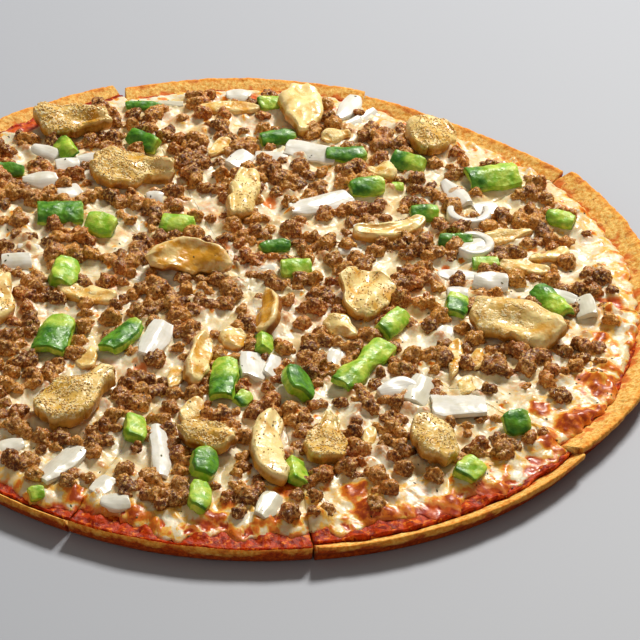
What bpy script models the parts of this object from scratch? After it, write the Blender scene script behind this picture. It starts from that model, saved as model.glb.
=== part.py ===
"""A 14-inch pan pizza, cut into ten slices that still lie together.

Each slice is a baked crust with a flared wall and a low lip, a layer of tomato
sauce and a layer of melted cheese. Crumbled beef and the smaller pieces of
mushroom, pepper and onion are baked into the cheese, and the larger pieces of
topping lie on it.

Metres, +Z up. The origin is on the underside, at the middle of the round.
Bearings are in degrees, counter-clockwise from +X.
"""

import math
import random
from collections import namedtuple

import bmesh
import bpy
from mathutils import Matrix, Vector, noise
from mathutils.bvhtree import BVHTree

MM = 0.001

# The mean round: lip to lip it is 356 mm across.
LIP_RADIUS = 178 * MM
BASE_INSET = 4.3 * MM
HEEL = 1.4 * MM
RIM_WIDTH = 8 * MM
LIP_HEIGHT = 9.6 * MM
BED_HEIGHT = 5.0 * MM

# The rim's section from the wall over the lip and down to the bed: how far in
# from the lip as a share of the rim's width, and the height.
RIM_SECTION = (
    (0.0, LIP_HEIGHT - 1.8 * MM),
    (0.16, LIP_HEIGHT - 0.3 * MM),
    (0.42, LIP_HEIGHT),
    (0.80, BED_HEIGHT + 1.9 * MM),
    (1.0, BED_HEIGHT),
)

# How far the lip rises and falls, and how close together its waves are.
LIP_WAVE = 0.5 * MM
LIP_WAVES_PER_METRE = 45

# The layers above the bed, each clear of the one below.
SEAM = 0.3 * MM
SAUCE_BOTTOM = BED_HEIGHT + SEAM
SAUCE_TOP = SAUCE_BOTTOM + 1.0 * MM
CHEESE_BOTTOM = SAUCE_TOP + SEAM
CHEESE_TOP = CHEESE_BOTTOM + 1.9 * MM
CHEESE_WAVE = 0.45 * MM
CHEESE_WAVES_PER_METRE = 38
CHEESE_RINGS = (0.86, 0.68, 0.46, 0.22)
EDGE_SWAY = 1.8 * MM

# Lumps stand a little way into the cheese, below its lowest wave.
SUNK = 0.7 * MM
LUMP_BOTTOM = CHEESE_TOP - SUNK - 0.5 * CHEESE_WAVE

# The clear height left under a topping that rests on the cheese.
REST_GAP = 0.39 * MM

# A knife cut, the share of the radius from which it opens, the space a lump
# keeps from it, and the number of facets along each slice's rim.
CUT_WIDTH = 0.8 * MM
CUT_MARGIN = 1.2 * CUT_WIDTH
OPENS_FROM = 0.96
FACETS = 8
WEDGE_TURN = 1.0
WELD = 0.01 * MM

# Beef crumbs: the largest lumps, spread evenly over the cheese.
CRUMB_COUNT = 200
CRUMB_RADIUS = (4.0 * MM, 5.8 * MM)
CRUMB_TRIES = 30000
CRUMB_SPACE = 0.7 * MM
CRUMB_UNEVEN = (0.82, 1.12)
CRUMB_REACH = 1.15
CRUMB_EDGE_REACH = 1.25
CRUMB_STANDS = 0.85
CRUMB_WELD = 0.05 * MM
SEED = 14

# One row for each slice: the bearing of its first cut, the lip's radius at the
# first cut, in the middle and at the last cut, the rim's width, the lip's
# height, the sauce that shows inside the rim, and how wide the first cut opens
# at the lip. Lengths are in millimetres.
Slice = namedtuple("Slice", "start first middle last rim lip band notch")
SLICES = (
    Slice(-36.4, 173.0, 176.5, 178.0, 13, 11.0, 2.0, 2.6),
    Slice(1.0, 178.0, 179.0, 180.0, 13, 11.4, 1.5, 1.4),
    Slice(38.5, 177.5, 172.5, 175.5, 10, 10.2, 1.5, 4.0),
    Slice(75.0, 179.5, 179.8, 176.5, 9, 9.8, 2.0, 1.6),
    Slice(113.0, 181.0, 178.5, 177.5, 8, 9.6, 2.5, 4.4),
    Slice(142.0, 178.0, 178.5, 178.0, 8, 9.6, 2.0, 1.5),
    Slice(178.0, 178.0, 178.5, 177.5, 7, 9.4, 2.5, 1.5),
    Slice(213.0, 178.0, 177.0, 178.0, 5, 9.3, 3.5, 1.5),
    Slice(249.5, 177.5, 178.5, 177.5, 4, 9.3, 7.0, 1.8),
    Slice(281.2, 178.5, 177.5, 175.0, 8, 9.8, 6.5, 2.4),
)

# How wide a piece is at five places from one end to the other, as a share of
# its full width.
CAP_AND_STEM = (0.62, 1.0, 0.90, 0.45, 0.38)
HALF_MOON = (0.45, 0.90, 1.0, 0.90, 0.45)
ROUND = (0.60, 0.95, 1.0, 0.95, 0.60)
STRIP = (0.70, 1.0, 1.0, 1.0, 0.70)
BLOCK = (0.88, 1.0, 1.0, 1.0, 0.88)
PINCHED = (0.80, 1.0, 0.66, 1.0, 0.90)
TAPER = (0.35, 0.72, 1.0, 1.0, 0.62)
PETAL = (0.56, 0.86, 1.0, 0.97, 0.78)
SMALL = (0.75, 1.0, 0.75)

# How much a piece's ends are rounded in plan.
END_ROUNDING = 0.5

# The larger pieces: middle, length, width and thickness in millimetres, then
# in degrees the way the length points, the lean about it, the bend along it in
# plan and the curl across it.
Topping = namedtuple("Topping", "x y length width thick turn lean bend curl shape")
MUSHROOMS = (
    Topping(-88, 122, 34, 27, 6.5, 5, -6, 0, -30, CAP_AND_STEM),
    Topping(16, 144, 40, 20, 6.0, 92, 10, 12, -25, TAPER),
    Topping(76, 127, 28, 23, 6.0, 78, 8, 0, -25, TAPER),
    Topping(-57, 83, 38, 26, 6.5, 2, 8, 0, -30, CAP_AND_STEM),
    Topping(-27, 11, 36, 19, 6.0, 0, 26, 0, 14, HALF_MOON),
    Topping(-7, 68, 38, 13, 6.0, 84, 16, 18, -20, STRIP),
    Topping(60, 47, 36, 9, 6.0, 24, 10, 62, 0, STRIP),
    Topping(49, -6, 34, 24, 5.5, 84, 8, 0, 20, TAPER),
    Topping(114, -22, 42, 25, 7.0, -18, 8, 14, -40, ROUND),
    Topping(11, -24, 32, 12, 5.0, 268, 44, -16, -20, TAPER),
    Topping(-107, -25, 34, 22, 6.0, 78, 8, 0, -25, CAP_AND_STEM),
    Topping(-64, -92, 44, 25, 7.5, 55, -8, 10, -35, CAP_AND_STEM),
    Topping(-19, -60, 34, 10, 5.5, 84, 26, 14, 0, STRIP),
    Topping(-11, -115, 23, 15, 6.0, -12, 0, 0, -30, ROUND),
    Topping(12, -119, 44, 13, 6.5, 96, 8, -58, 0, STRIP),
    Topping(36, -110, 32, 18, 6.0, 84, 8, 0, -25, CAP_AND_STEM),
    Topping(79, -107, 29, 19, 6.0, 104, 8, 0, -25, ROUND),
)
PEPPERS = (
    Topping(105, 97, 24, 16, 3.7, 18, 10, 0, -70, BLOCK),
    Topping(-79, -49, 23, 16, 3.7, 82, -8, 0, -80, BLOCK),
    Topping(50, -56, 36, 13, 3.7, 60, 8, 10, -80, PINCHED),
    Topping(129, -1, 22, 11, 3.7, -56, 14, 0, -80, BLOCK),
    Topping(-7, -72, 26, 12, 3.7, 88, -12, 0, -80, BLOCK),
    Topping(-86, 46, 20, 15, 3.7, 8, 8, 0, -70, BLOCK),
    Topping(-51, -47, 23, 12, 3.7, 62, -14, 0, -80, STRIP),
)
ONIONS = (
    Topping(-37, -46, 26, 12, 1.9, 76, 10, 10, -60, PETAL),
    Topping(89, -79, 22, 17, 1.9, 6, -8, 0, -45, BLOCK),
    Topping(28, 68, 30, 12, 1.9, 30, 8, 16, -45, PETAL),
    Topping(22, 112, 24, 13, 1.9, -12, 8, 0, -50, BLOCK),
    Topping(-29, -122, 34, 8, 1.9, 97, 12, 10, -60, STRIP),
    Topping(-67, -134, 26, 11, 1.9, 60, -8, 8, -50, PETAL),
)

# The smaller pieces, baked into the cheese: middle, length, width, height
# above the cheese, and the way the length points.
Piece = namedtuple("Piece", "x y length width height turn")
SMALL_MUSHROOMS = (
    Piece(-18, 148, 30, 9, 4.0, 8), Piece(110, 52, 27, 10, 4.0, 25),
    Piece(-68, -14, 26, 12, 4.5, -8), Piece(118, 27, 22, 10, 4.0, -10),
    Piece(129, 37, 20, 9, 4.0, 30), Piece(55, 98, 14, 13, 4.0, 0),
    Piece(40, -29, 16, 14, 4.0, -40), Piece(-5, -42, 14, 11, 4.0, 90),
    Piece(-19, -94, 17, 9, 4.0, 70), Piece(88, -45, 28, 7, 4.5, 86),
    Piece(-20, 111, 18, 8, 4.0, 65), Piece(-27, -71, 16, 7, 3.5, 85),
    Piece(-142, 44, 24, 12, 4.0, 70), Piece(-128, -66, 26, 11, 4.0, -50),
    Piece(-150, -26, 20, 11, 4.0, 85),
)
SMALL_PEPPERS = (
    Piece(61, -24, 20, 10, 3.5, 60), Piece(-80, -2, 22, 12, 4.0, 86),
    Piece(22, -74, 20, 12, 4.0, 100), Piece(-67, 38, 16, 12, 3.5, -20),
    Piece(38, 111, 22, 9, 3.5, 10), Piece(67, 106, 19, 10, 3.5, -25),
    Piece(6, 122, 20, 8, 3.0, 20), Piece(48, 83, 19, 10, 3.5, 15),
    Piece(-12, -151, 19, 9, 3.5, 92), Piece(-12, -131, 18, 11, 4.0, 88),
    Piece(24, -132, 17, 8, 3.5, 100), Piece(93, -122, 14, 11, 3.5, 60),
    Piece(112, -90, 13, 11, 3.5, 20), Piece(-41, -109, 17, 9, 3.5, 95),
    Piece(135, 67, 15, 9, 3.0, -20), Piece(74, 65, 15, 9, 3.5, 10),
    Piece(88, -7, 16, 10, 3.5, 85), Piece(19, 14, 16, 9, 3.0, 10),
    Piece(-54, 111, 19, 9, 3.5, -35), Piece(-88, 100, 15, 9, 3.5, -65),
    Piece(-114, 81, 20, 7, 3.0, 0), Piece(7, -44, 14, 7, 3.5, 92),
    Piece(-130, 16, 18, 11, 3.5, 20), Piece(-148, -58, 17, 10, 3.5, -60),
    Piece(-104, -104, 17, 11, 3.5, 40), Piece(-138, 74, 15, 10, 3.5, 50),
)
SMALL_ONIONS = (
    Piece(64, -70, 18, 11, 3.0, 20), Piece(38, 154, 24, 10, 3.0, 70),
    Piece(88, 84, 22, 10, 3.0, -60), Piece(103, 12, 16, 12, 3.5, 0),
    Piece(144, -2, 15, 10, 3.0, -80), Piece(-98, 98, 15, 9, 3.0, -30),
    Piece(-98, 74, 17, 10, 3.0, 10), Piece(-84, 66, 12, 10, 3.0, 30),
    Piece(4, -60, 18, 11, 3.5, 95), Piece(15, -152, 16, 10, 2.5, 70),
    Piece(-50, -145, 13, 9, 3.0, 60), Piece(97, 40, 14, 12, 3.0, 45),
    Piece(-10, 102, 14, 10, 3.0, 60), Piece(-14, 160, 12, 8, 2.5, 0),
    Piece(-134, -44, 20, 11, 3.0, -20), Piece(-156, 22, 16, 9, 3.0, 80),
    Piece(-110, -56, 15, 10, 3.0, 10), Piece(-90, -124, 16, 9, 3.0, 30),
    Piece(-122, 46, 14, 10, 3.0, 0),
)

# Where no crumb lies, because plain cheese shows: middle and radius.
BARE_PATCHES = (
    (-66, 153, 7), (-33, 125, 8), (57, 147, 8), (-68, 53, 8), (-60, 27, 8),
    (-66, 5, 7), (-22, 63, 9), (30, 50, 9), (54, 12, 8), (148, 45, 10),
    (-12, -26, 9), (19, -34, 7), (3, -14, 6), (72, -34, 9), (-52, -62, 9),
    (118, -76, 14), (104, -123, 8), (70, -132, 8), (48, -140, 9), (38, -90, 8),
    (145, -20, 9), (-56, -88, 6), (-118, -60, 9), (-135, 20, 9), (-128, -95, 8),
)

# Colours as linear RGB, then roughness.
FINISHES = {
    "crust": ((0.56, 0.27, 0.075), 0.72),
    "sauce": ((0.33, 0.030, 0.008), 0.35),
    "cheese": ((0.80, 0.66, 0.42), 0.38),
    "mushroom": ((0.52, 0.37, 0.13), 0.45),
    "pepper": ((0.085, 0.24, 0.018), 0.30),
    "onion": ((0.82, 0.80, 0.70), 0.32),
}


def clear_scene():
    for old in list(bpy.data.objects):
        bpy.data.objects.remove(old, do_unlink=True)


def material(kind):
    """The finish of one kind of piece, made once and shared."""
    made = bpy.data.materials.get(kind)
    if made:
        return made
    colour, roughness = FINISHES[kind]
    made = bpy.data.materials.new(kind)
    made.use_nodes = True
    shader = made.node_tree.nodes["Principled BSDF"]
    shader.inputs["Base Color"].default_value = (*colour, 1.0)
    shader.inputs["Roughness"].default_value = roughness
    shader.inputs["Metallic"].default_value = 0.0
    return made


def add_object(name, bm, kind):
    """Turn a finished bmesh into an object with its kind's material."""
    bmesh.ops.recalc_face_normals(bm, faces=bm.faces)
    mesh = bpy.data.meshes.new(name)
    bm.to_mesh(mesh)
    bm.free()
    mesh.materials.append(material(kind))
    thing = bpy.data.objects.new(name, mesh)
    bpy.context.collection.objects.link(thing)
    return thing


# The outline of a slice

def through_three(first, middle, last, share):
    """The smooth curve through three values, at a share from 0 to 1."""
    return (first * (2 * share - 1) * (share - 1)
            + middle * 4 * share * (1 - share)
            + last * share * (2 * share - 1))


def lip_radius(cut, share):
    return through_three(cut.first, cut.middle, cut.last, share) * MM


def bed_edge(cut, share):
    """Where the bed ends and the rim's inner slope starts."""
    return lip_radius(cut, share) - cut.rim * MM


def cheese_edge(cut, share):
    """The melted edge runs unevenly along the sauce that shows inside the rim."""
    uneven = noise.noise(Vector((share * 4.0, cut.start, 0.0)))
    return bed_edge(cut, share) - cut.band * MM - EDGE_SWAY * uneven


def half_cut(notch, radius):
    """Half the width of a cut, which opens in the rim."""
    opening = max(0.0, (radius / LIP_RADIUS - OPENS_FROM) / (1 - OPENS_FROM)) ** 1.5
    return 0.5 * (CUT_WIDTH + (notch * MM - CUT_WIDTH) * opening)


def next_cut(cut):
    """The slice after this one, and the bearing where this one ends."""
    following = SLICES[(SLICES.index(cut) + 1) % len(SLICES)]
    end = following.start
    if end < cut.start:
        end += 360
    return following, end


def tip_radius(cut):
    """How far the slice's point stays from the middle of the round."""
    _, end = next_cut(cut)
    return 0.5 * CUT_WIDTH / math.sin(math.radians(end - cut.start) / 2)


def slice_point(cut, share, radius, height, opened=False):
    """A point of the slice, at a share of the way from its first cut to its last."""
    following, end = next_cut(cut)
    radius = max(radius, tip_radius(cut))
    width_at = radius if opened else 0.0
    first = math.radians(cut.start) + math.asin(half_cut(cut.notch, width_at) / radius)
    last = math.radians(end) - math.asin(half_cut(following.notch, width_at) / radius)
    if last < first:
        first = last = (first + last) / 2
    bearing = first + (last - first) * share
    return Vector((radius * math.cos(bearing), radius * math.sin(bearing), height))


def spun_section(section):
    """Spin a closed section about the middle, through one radian in equal facets."""
    bm = bmesh.new()
    corners = [bm.verts.new((radius, 0.0, height)) for radius, height in section]
    face = bm.faces.new(corners)
    bmesh.ops.spin(bm, geom=[face, *face.edges, *face.verts], cent=(0, 0, 0),
                   axis=(0, 0, 1), dvec=(0, 0, 0), angle=WEDGE_TURN,
                   steps=FACETS, use_merge=False, use_duplicate=False)
    return bm


def fit_to_slice(bm, cut, place):
    """Pull each point of a spun section to where place puts it in the slice."""
    for vert in bm.verts:
        x, y, height = vert.co
        radius = math.hypot(x, y)
        share = math.atan2(y, x) / WEDGE_TURN if radius > MM else 0.5
        vert.co = place(cut, min(max(share, 0.0), 1.0), radius, height)
    bmesh.ops.remove_doubles(bm, verts=bm.verts, dist=WELD)
    return bm


# The layers of a slice

def crust_place(cut, share, radius, height):
    """The mean section's point, moved to this slice's own lip, rim and wall."""
    mean_edge = LIP_RADIUS - RIM_WIDTH
    if height < HEEL + WELD:
        radius *= (lip_radius(cut, share) - BASE_INSET) / (LIP_RADIUS - BASE_INSET)
    elif radius > mean_edge:
        across = (radius - mean_edge) / RIM_WIDTH
        radius = bed_edge(cut, share) + across * cut.rim * MM
    else:
        radius *= bed_edge(cut, share) / mean_edge
    if height > BED_HEIGHT:
        rise = (height - BED_HEIGHT) / (LIP_HEIGHT - BED_HEIGHT)
        height = BED_HEIGHT + rise * (cut.lip * MM - BED_HEIGHT)
        spot = slice_point(cut, share, radius, 0.0) * LIP_WAVES_PER_METRE
        height += rise * LIP_WAVE * noise.noise(spot)
    return slice_point(cut, share, radius, height, opened=True)


def build_crust(name, cut):
    wall = LIP_RADIUS - BASE_INSET
    section = [(0.0, 0.0), (wall - HEEL, 0.0), (wall, HEEL)]
    section += [(LIP_RADIUS - share * RIM_WIDTH, height) for share, height in RIM_SECTION]
    section += [(0.5 * LIP_RADIUS, BED_HEIGHT), (0.0, BED_HEIGHT)]
    bm = fit_to_slice(spun_section(section), cut, crust_place)
    return add_object(name, bm, "crust")


def build_sauce(name, cut):
    edge = LIP_RADIUS - RIM_WIDTH

    def place(cut, share, radius, height):
        reach = bed_edge(cut, share) - 1.5 * SEAM
        return slice_point(cut, share, radius / edge * reach, height)

    section = (
        (0.0, SAUCE_BOTTOM), (edge, SAUCE_BOTTOM),
        (edge - 0.4 * MM, SAUCE_TOP), (0.0, SAUCE_TOP),
    )
    return add_object(name, fit_to_slice(spun_section(section), cut, place), "sauce")


def build_cheese(name, cut):
    edge = LIP_RADIUS - RIM_WIDTH

    def place(cut, share, radius, height):
        point = slice_point(cut, share, radius / edge * cheese_edge(cut, share), height)
        if height == CHEESE_TOP_ON_MESH and radius > MM:
            point.z += CHEESE_WAVE * noise.noise(point * CHEESE_WAVES_PER_METRE)
        return point

    section = [(0.0, CHEESE_BOTTOM), (edge, CHEESE_BOTTOM)]
    section += [(edge - 1.2 * MM, CHEESE_TOP - 0.5 * MM)]
    section += [(edge * ring, CHEESE_TOP) for ring in CHEESE_RINGS]
    section += [(0.0, CHEESE_TOP)]
    return add_object(name, fit_to_slice(spun_section(section), cut, place), "cheese")


# Meshes hold 32-bit numbers, so the cheese's top is compared as one.
CHEESE_TOP_ON_MESH = Vector((0.0, 0.0, CHEESE_TOP)).z


# The toppings

def arc(along, angle):
    """Where a length lies once it is bent through an angle: forward, aside."""
    if abs(angle) < 0.01:
        return along, 0.0
    radius = 1.0 / angle
    return math.sin(along * angle) * radius, (1 - math.cos(along * angle)) * radius


def slab(length, width, thick, shape, bend=0.0, curl=0.0):
    """A flat piece along X, widened by its shape, then curled, bent and thickened."""
    bm = bmesh.new()
    across = 2 if len(shape) > 3 else 1
    bmesh.ops.create_grid(bm, x_segments=len(shape) - 1, y_segments=across, size=0.5)
    for vert in bm.verts:
        station = round((vert.co.x + 0.5) * (len(shape) - 1))
        rounding = 1.0 - END_ROUNDING * vert.co.y ** 2
        side, rise = arc(vert.co.y, math.radians(curl))
        forward, aside = arc(vert.co.x * rounding, math.radians(bend))
        heading = vert.co.x * math.radians(bend)
        side *= width * shape[station]
        vert.co = (forward * length - math.sin(heading) * side,
                   aside * length + math.cos(heading) * side,
                   rise * width * shape[station])
    bm.normal_update()
    grown = bmesh.ops.extrude_face_region(bm, geom=list(bm.faces))["geom"]
    for vert in [item for item in grown if isinstance(item, bmesh.types.BMVert)]:
        vert.co.z += thick
    return bm


def build_topping(name, kind, piece):
    """One of the larger pieces, at its place in plan but not yet lowered."""
    bm = slab(piece.length * MM, piece.width * MM, piece.thick * MM, piece.shape,
              piece.bend, piece.curl)
    turned = Matrix.Rotation(math.radians(piece.turn), 4, "Z")
    leaned = Matrix.Rotation(math.radians(piece.lean), 4, "X")
    placed = Matrix.Translation((piece.x * MM, piece.y * MM, 0.0)) @ turned @ leaned
    bmesh.ops.transform(bm, matrix=placed, verts=bm.verts)
    return add_object(name, bm, kind)


def surface_of(things):
    """One tree for ray casts onto several objects."""
    bm = bmesh.new()
    for thing in things:
        bm.from_mesh(thing.data)
    tree = BVHTree.FromBMesh(bm)
    bm.free()
    return tree


def lower_onto(thing, carriers):
    """Set a piece down until it is just clear of the surface under it."""
    below = surface_of(carriers)
    lift = -1.0
    for vert in thing.data.vertices:
        hit = below.ray_cast(Vector((vert.co.x, vert.co.y, 1.0)), Vector((0, 0, -1)))[0]
        if hit:
            lift = max(lift, hit.z - vert.co.z)
    own = surface_of([thing])
    for carrier in carriers:
        for vert in carrier.data.vertices:
            start = Vector((vert.co.x, vert.co.y, -1.0))
            hit = own.ray_cast(start, Vector((0, 0, 1)))[0]
            if hit:
                lift = max(lift, vert.co.z - hit.z)
    thing.data.transform(Matrix.Translation((0, 0, lift + REST_GAP)))


def slice_at(x, y):
    """The slice that a spot is in, and how far the spot is from its two cuts."""
    bearing = math.degrees(math.atan2(y, x))
    radius = math.hypot(x, y)
    for cut in SLICES:
        _, end = next_cut(cut)
        turned = (bearing - cut.start) % 360
        if turned < end - cut.start:
            inside = min(turned, end - cut.start - turned, 90)
            return cut, radius * math.sin(math.radians(inside)), turned
    raise ValueError("a bearing with no slice")


def under_a_topping(tree, x, y, radius):
    """Whether a round spot, tried at its middle and eight ways out, is under a larger piece."""
    ways = 8
    for step in range(ways + 1):
        reach = radius if step else 0.0
        angle = step * math.tau / ways
        start = Vector((x + reach * math.cos(angle), y + reach * math.sin(angle), -1.0))
        if tree.ray_cast(start, Vector((0, 0, 1)))[0]:
            return True
    return False


def clear_of_cuts(x, y, radius):
    """Move a spot off the nearest cut, so that a piece there stays in one slice."""
    cut, gap, turned = slice_at(x, y)
    need = radius + CUT_MARGIN
    if gap >= need:
        return x, y
    _, end = next_cut(cut)
    at_first = turned < (end - cut.start) / 2
    line = math.radians(cut.start if at_first else end)
    aside = 1.0 if at_first else -1.0
    x -= aside * (need - gap) * math.sin(line)
    y += aside * (need - gap) * math.cos(line)
    return x, y


# The share of a small piece's half length that crumbs keep clear of.
PIECE_REACH = 0.8


def small_piece(piece, tree):
    """A small slab baked into the cheese, or None where a larger piece lies."""
    half_width = 0.5 * piece.width * MM
    turn = math.radians(piece.turn)
    line = math.atan2(piece.y, piece.x)
    spread = abs(math.sin(turn - line)) * 0.5 * piece.length * MM
    spread += abs(math.cos(turn - line)) * half_width
    x, y = clear_of_cuts(piece.x * MM, piece.y * MM, spread)
    for share in (-0.5, 0.0, 0.5):
        along = share * piece.length * MM
        spot = (x + along * math.cos(turn), y + along * math.sin(turn))
        if under_a_topping(tree, *spot, half_width + SEAM):
            return None
    bm = slab(piece.length * MM, piece.width * MM, piece.height * MM + SUNK, SMALL)
    place = Matrix.Translation((x, y, LUMP_BOTTOM))
    turned = Matrix.Rotation(turn, 4, "Z")
    bmesh.ops.transform(bm, matrix=place @ turned, verts=bm.verts)
    return x, y, 0.5 * piece.length * MM, bm


def crumb(x, y, radius, draw):
    """One lump of beef, an uneven ball that stands a little way into the cheese."""
    bm = bmesh.new()
    bmesh.ops.create_icosphere(bm, subdivisions=1, radius=radius)
    for vert in bm.verts:
        vert.co *= draw.uniform(*CRUMB_UNEVEN)
    turn = Matrix.Rotation(draw.uniform(0, math.tau), 4, "Z")
    tip = Matrix.Rotation(draw.uniform(0, math.tau), 4, "X")
    bmesh.ops.transform(bm, matrix=turn @ tip, verts=bm.verts)
    lowest = min(vert.co.z for vert in bm.verts)
    bmesh.ops.translate(bm, vec=(x, y, LUMP_BOTTOM - CRUMB_STANDS * lowest), verts=bm.verts)
    for vert in bm.verts:
        vert.co.z = max(vert.co.z, LUMP_BOTTOM)
    bmesh.ops.remove_doubles(bm, verts=bm.verts, dist=CRUMB_WELD)
    return bm


def spread_crumbs(tree, taken):
    """Spots for the crumbs: seeded throws that keep clear of all that is there."""
    draw = random.Random(SEED)
    spots = []
    for _ in range(CRUMB_TRIES):
        if len(spots) == CRUMB_COUNT:
            break
        radius = draw.uniform(*CRUMB_RADIUS)
        out = LIP_RADIUS * math.sqrt(draw.random())
        bearing = draw.uniform(-math.pi, math.pi)
        x, y = out * math.cos(bearing), out * math.sin(bearing)
        cut, gap, turned = slice_at(x, y)
        _, end = next_cut(cut)
        reach = cheese_edge(cut, turned / (end - cut.start)) - CRUMB_EDGE_REACH * radius
        wide = CRUMB_REACH * radius
        if out > reach or gap < wide + CUT_WIDTH:
            continue
        if any(math.hypot(x - px * MM, y - py * MM) < pr * MM + radius
               for px, py, pr in BARE_PATCHES):
            continue
        if any(math.hypot(x - sx, y - sy) < sr + wide + CRUMB_SPACE
               for sx, sy, sr in spots + taken):
            continue
        if under_a_topping(tree, x, y, wide + SEAM):
            continue
        spots.append((x, y, radius))
    return spots


def fuse(cheese, lumps):
    """Join the lumps of one slice to its cheese by one Boolean union."""
    group = bpy.data.collections.new(cheese.name + "_lumps")
    bpy.context.scene.collection.children.link(group)
    for number, bm in enumerate(lumps):
        lump = add_object(f"{cheese.name}_lump_{number}", bm, "cheese")
        bpy.context.collection.objects.unlink(lump)
        group.objects.link(lump)
    union = cheese.modifiers.new("Lumps", "BOOLEAN")
    union.operation = "UNION"
    union.operand_type = "COLLECTION"
    union.collection = group
    union.solver = "EXACT"
    scene_view = bpy.context.evaluated_depsgraph_get()
    joined = bpy.data.meshes.new_from_object(cheese.evaluated_get(scene_view))
    cheese.modifiers.clear()
    cheese.data = joined
    for lump in list(group.objects):
        bpy.data.objects.remove(lump, do_unlink=True)
    bpy.data.collections.remove(group)


def build():
    clear_scene()
    cheeses = {}
    for number, cut in enumerate(SLICES, start=1):
        build_crust(f"crust_{number:02d}", cut)
        build_sauce(f"sauce_{number:02d}", cut)
        cheeses[cut] = build_cheese(f"cheese_{number:02d}", cut)

    toppings = []
    for kind, pieces in (("mushroom", MUSHROOMS), ("pepper", PEPPERS), ("onion", ONIONS)):
        for number, piece in enumerate(pieces, start=1):
            thing = build_topping(f"{kind}_{number:02d}", kind, piece)
            lower_onto(thing, list(cheeses.values()))
            toppings.append(thing)
    tree = surface_of(toppings)

    taken = []
    lumps = {cut: [] for cut in SLICES}
    for piece in (*SMALL_MUSHROOMS, *SMALL_PEPPERS, *SMALL_ONIONS):
        made = small_piece(piece, tree)
        if made:
            x, y, reach, bm = made
            taken.append((x, y, PIECE_REACH * reach))
            lumps[slice_at(x, y)[0]].append(bm)
    draw = random.Random(SEED + 1)
    for x, y, radius in spread_crumbs(tree, taken):
        lumps[slice_at(x, y)[0]].append(crumb(x, y, radius, draw))
    for cut, cheese in cheeses.items():
        fuse(cheese, lumps[cut])


build()
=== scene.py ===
# %% [markdown]
# # A pan pizza, cut into ten slices
#
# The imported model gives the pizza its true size: ten slices of crust, sauce and
# cheese, with the larger toppings lying on them. This script gives every one of
# those pieces its fine surface. It rebuilds each slice with a baked relief, lays
# melted cheese between the crumbled beef, and finishes the toppings one kind at
# a time. All lengths are metres, and MM turns millimetres into them.

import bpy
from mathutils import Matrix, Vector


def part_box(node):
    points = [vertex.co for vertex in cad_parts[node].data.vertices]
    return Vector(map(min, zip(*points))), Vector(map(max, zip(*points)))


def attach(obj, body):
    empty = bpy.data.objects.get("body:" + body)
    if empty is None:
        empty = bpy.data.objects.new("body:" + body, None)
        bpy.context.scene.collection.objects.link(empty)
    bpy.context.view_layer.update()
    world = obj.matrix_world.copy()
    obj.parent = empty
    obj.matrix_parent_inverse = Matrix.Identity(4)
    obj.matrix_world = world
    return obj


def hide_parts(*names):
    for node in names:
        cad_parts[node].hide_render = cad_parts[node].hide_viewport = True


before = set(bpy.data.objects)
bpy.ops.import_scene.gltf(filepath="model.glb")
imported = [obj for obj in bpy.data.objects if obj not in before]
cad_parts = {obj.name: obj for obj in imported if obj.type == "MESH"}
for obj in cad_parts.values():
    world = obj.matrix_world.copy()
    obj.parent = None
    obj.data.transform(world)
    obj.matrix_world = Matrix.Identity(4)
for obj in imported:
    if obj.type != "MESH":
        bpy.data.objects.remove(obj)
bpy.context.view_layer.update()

# %% Tools that the lesson uses
import math
import random
from collections import namedtuple

import bmesh
import bpy
import numpy as np
from mathutils import Matrix, Vector, noise
from mathutils.kdtree import KDTree

MM = 0.001

# %% [markdown]
# ## The camera
#
# The picture was taken from above the front edge with a long lens, so the round
# looks like a wide oval and the far side is hardly smaller than the near one.
# Standing well back with a long focal length gives that flat look. The camera
# first tips down, and then rolls a little about its own axis.

# %% Camera
CAMERA_PLACE = Vector((30.8, -1117.4, 760.0)) * MM
CAMERA_DOWN = math.radians(34.376)
CAMERA_ROLL = math.radians(3.484)
CAMERA_LENS = 177.0


def aim_camera():
    lens = bpy.data.cameras.new("Camera")
    lens.lens = CAMERA_LENS
    lens.sensor_width = 36.0
    camera = bpy.data.objects.new("Camera", lens)
    bpy.context.collection.objects.link(camera)
    tip = Matrix.Rotation(math.pi / 2 - CAMERA_DOWN, 4, "X")
    roll = Matrix.Rotation(CAMERA_ROLL, 4, "Z")
    camera.matrix_world = Matrix.Translation(CAMERA_PLACE) @ tip @ roll
    bpy.context.scene.camera = camera


aim_camera()

# %% [markdown]
# ## Floor and light
#
# Food looks fresh when a large soft light stands behind it: the light skims over
# the cheese and leaves small glints on everything wet. One softbox stands behind
# and to the right, a weaker one fills from the front left, and a pale world
# keeps the shadows open. The floor is plain and pale, and it is staged, so it
# doesn't count as part of the pizza.

# %% Floor and light
FLOOR_COLOUR = (0.37, 0.395, 0.45, 1.0)
FLOOR_REACH = 3.0
FLOOR_DROP = 0.2 * MM
WORLD_COLOUR = (1.0, 0.92, 0.80, 1.0)
WORLD_STRENGTH = 0.2
# A softbox's name, place, size, watts and tint.
SOFTBOXES = (
    ("Key", (0.55, 1.35, 1.55), 0.5, 60.0, (1.0, 0.96, 0.89)),
    ("Fill", (-0.9, -1.6, 1.1), 1.0, 3.5, (1.0, 0.94, 0.84)),
)


def hang_softbox(name, place, size, watts, tint):
    lamp = bpy.data.lights.new(name, "AREA")
    lamp.size = size
    lamp.energy = watts
    lamp.color = tint
    holder = bpy.data.objects.new(name, lamp)
    bpy.context.collection.objects.link(holder)
    turn = Vector(place).to_track_quat("Z", "Y").to_matrix().to_4x4()
    holder.matrix_world = Matrix.Translation(place) @ turn


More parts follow.
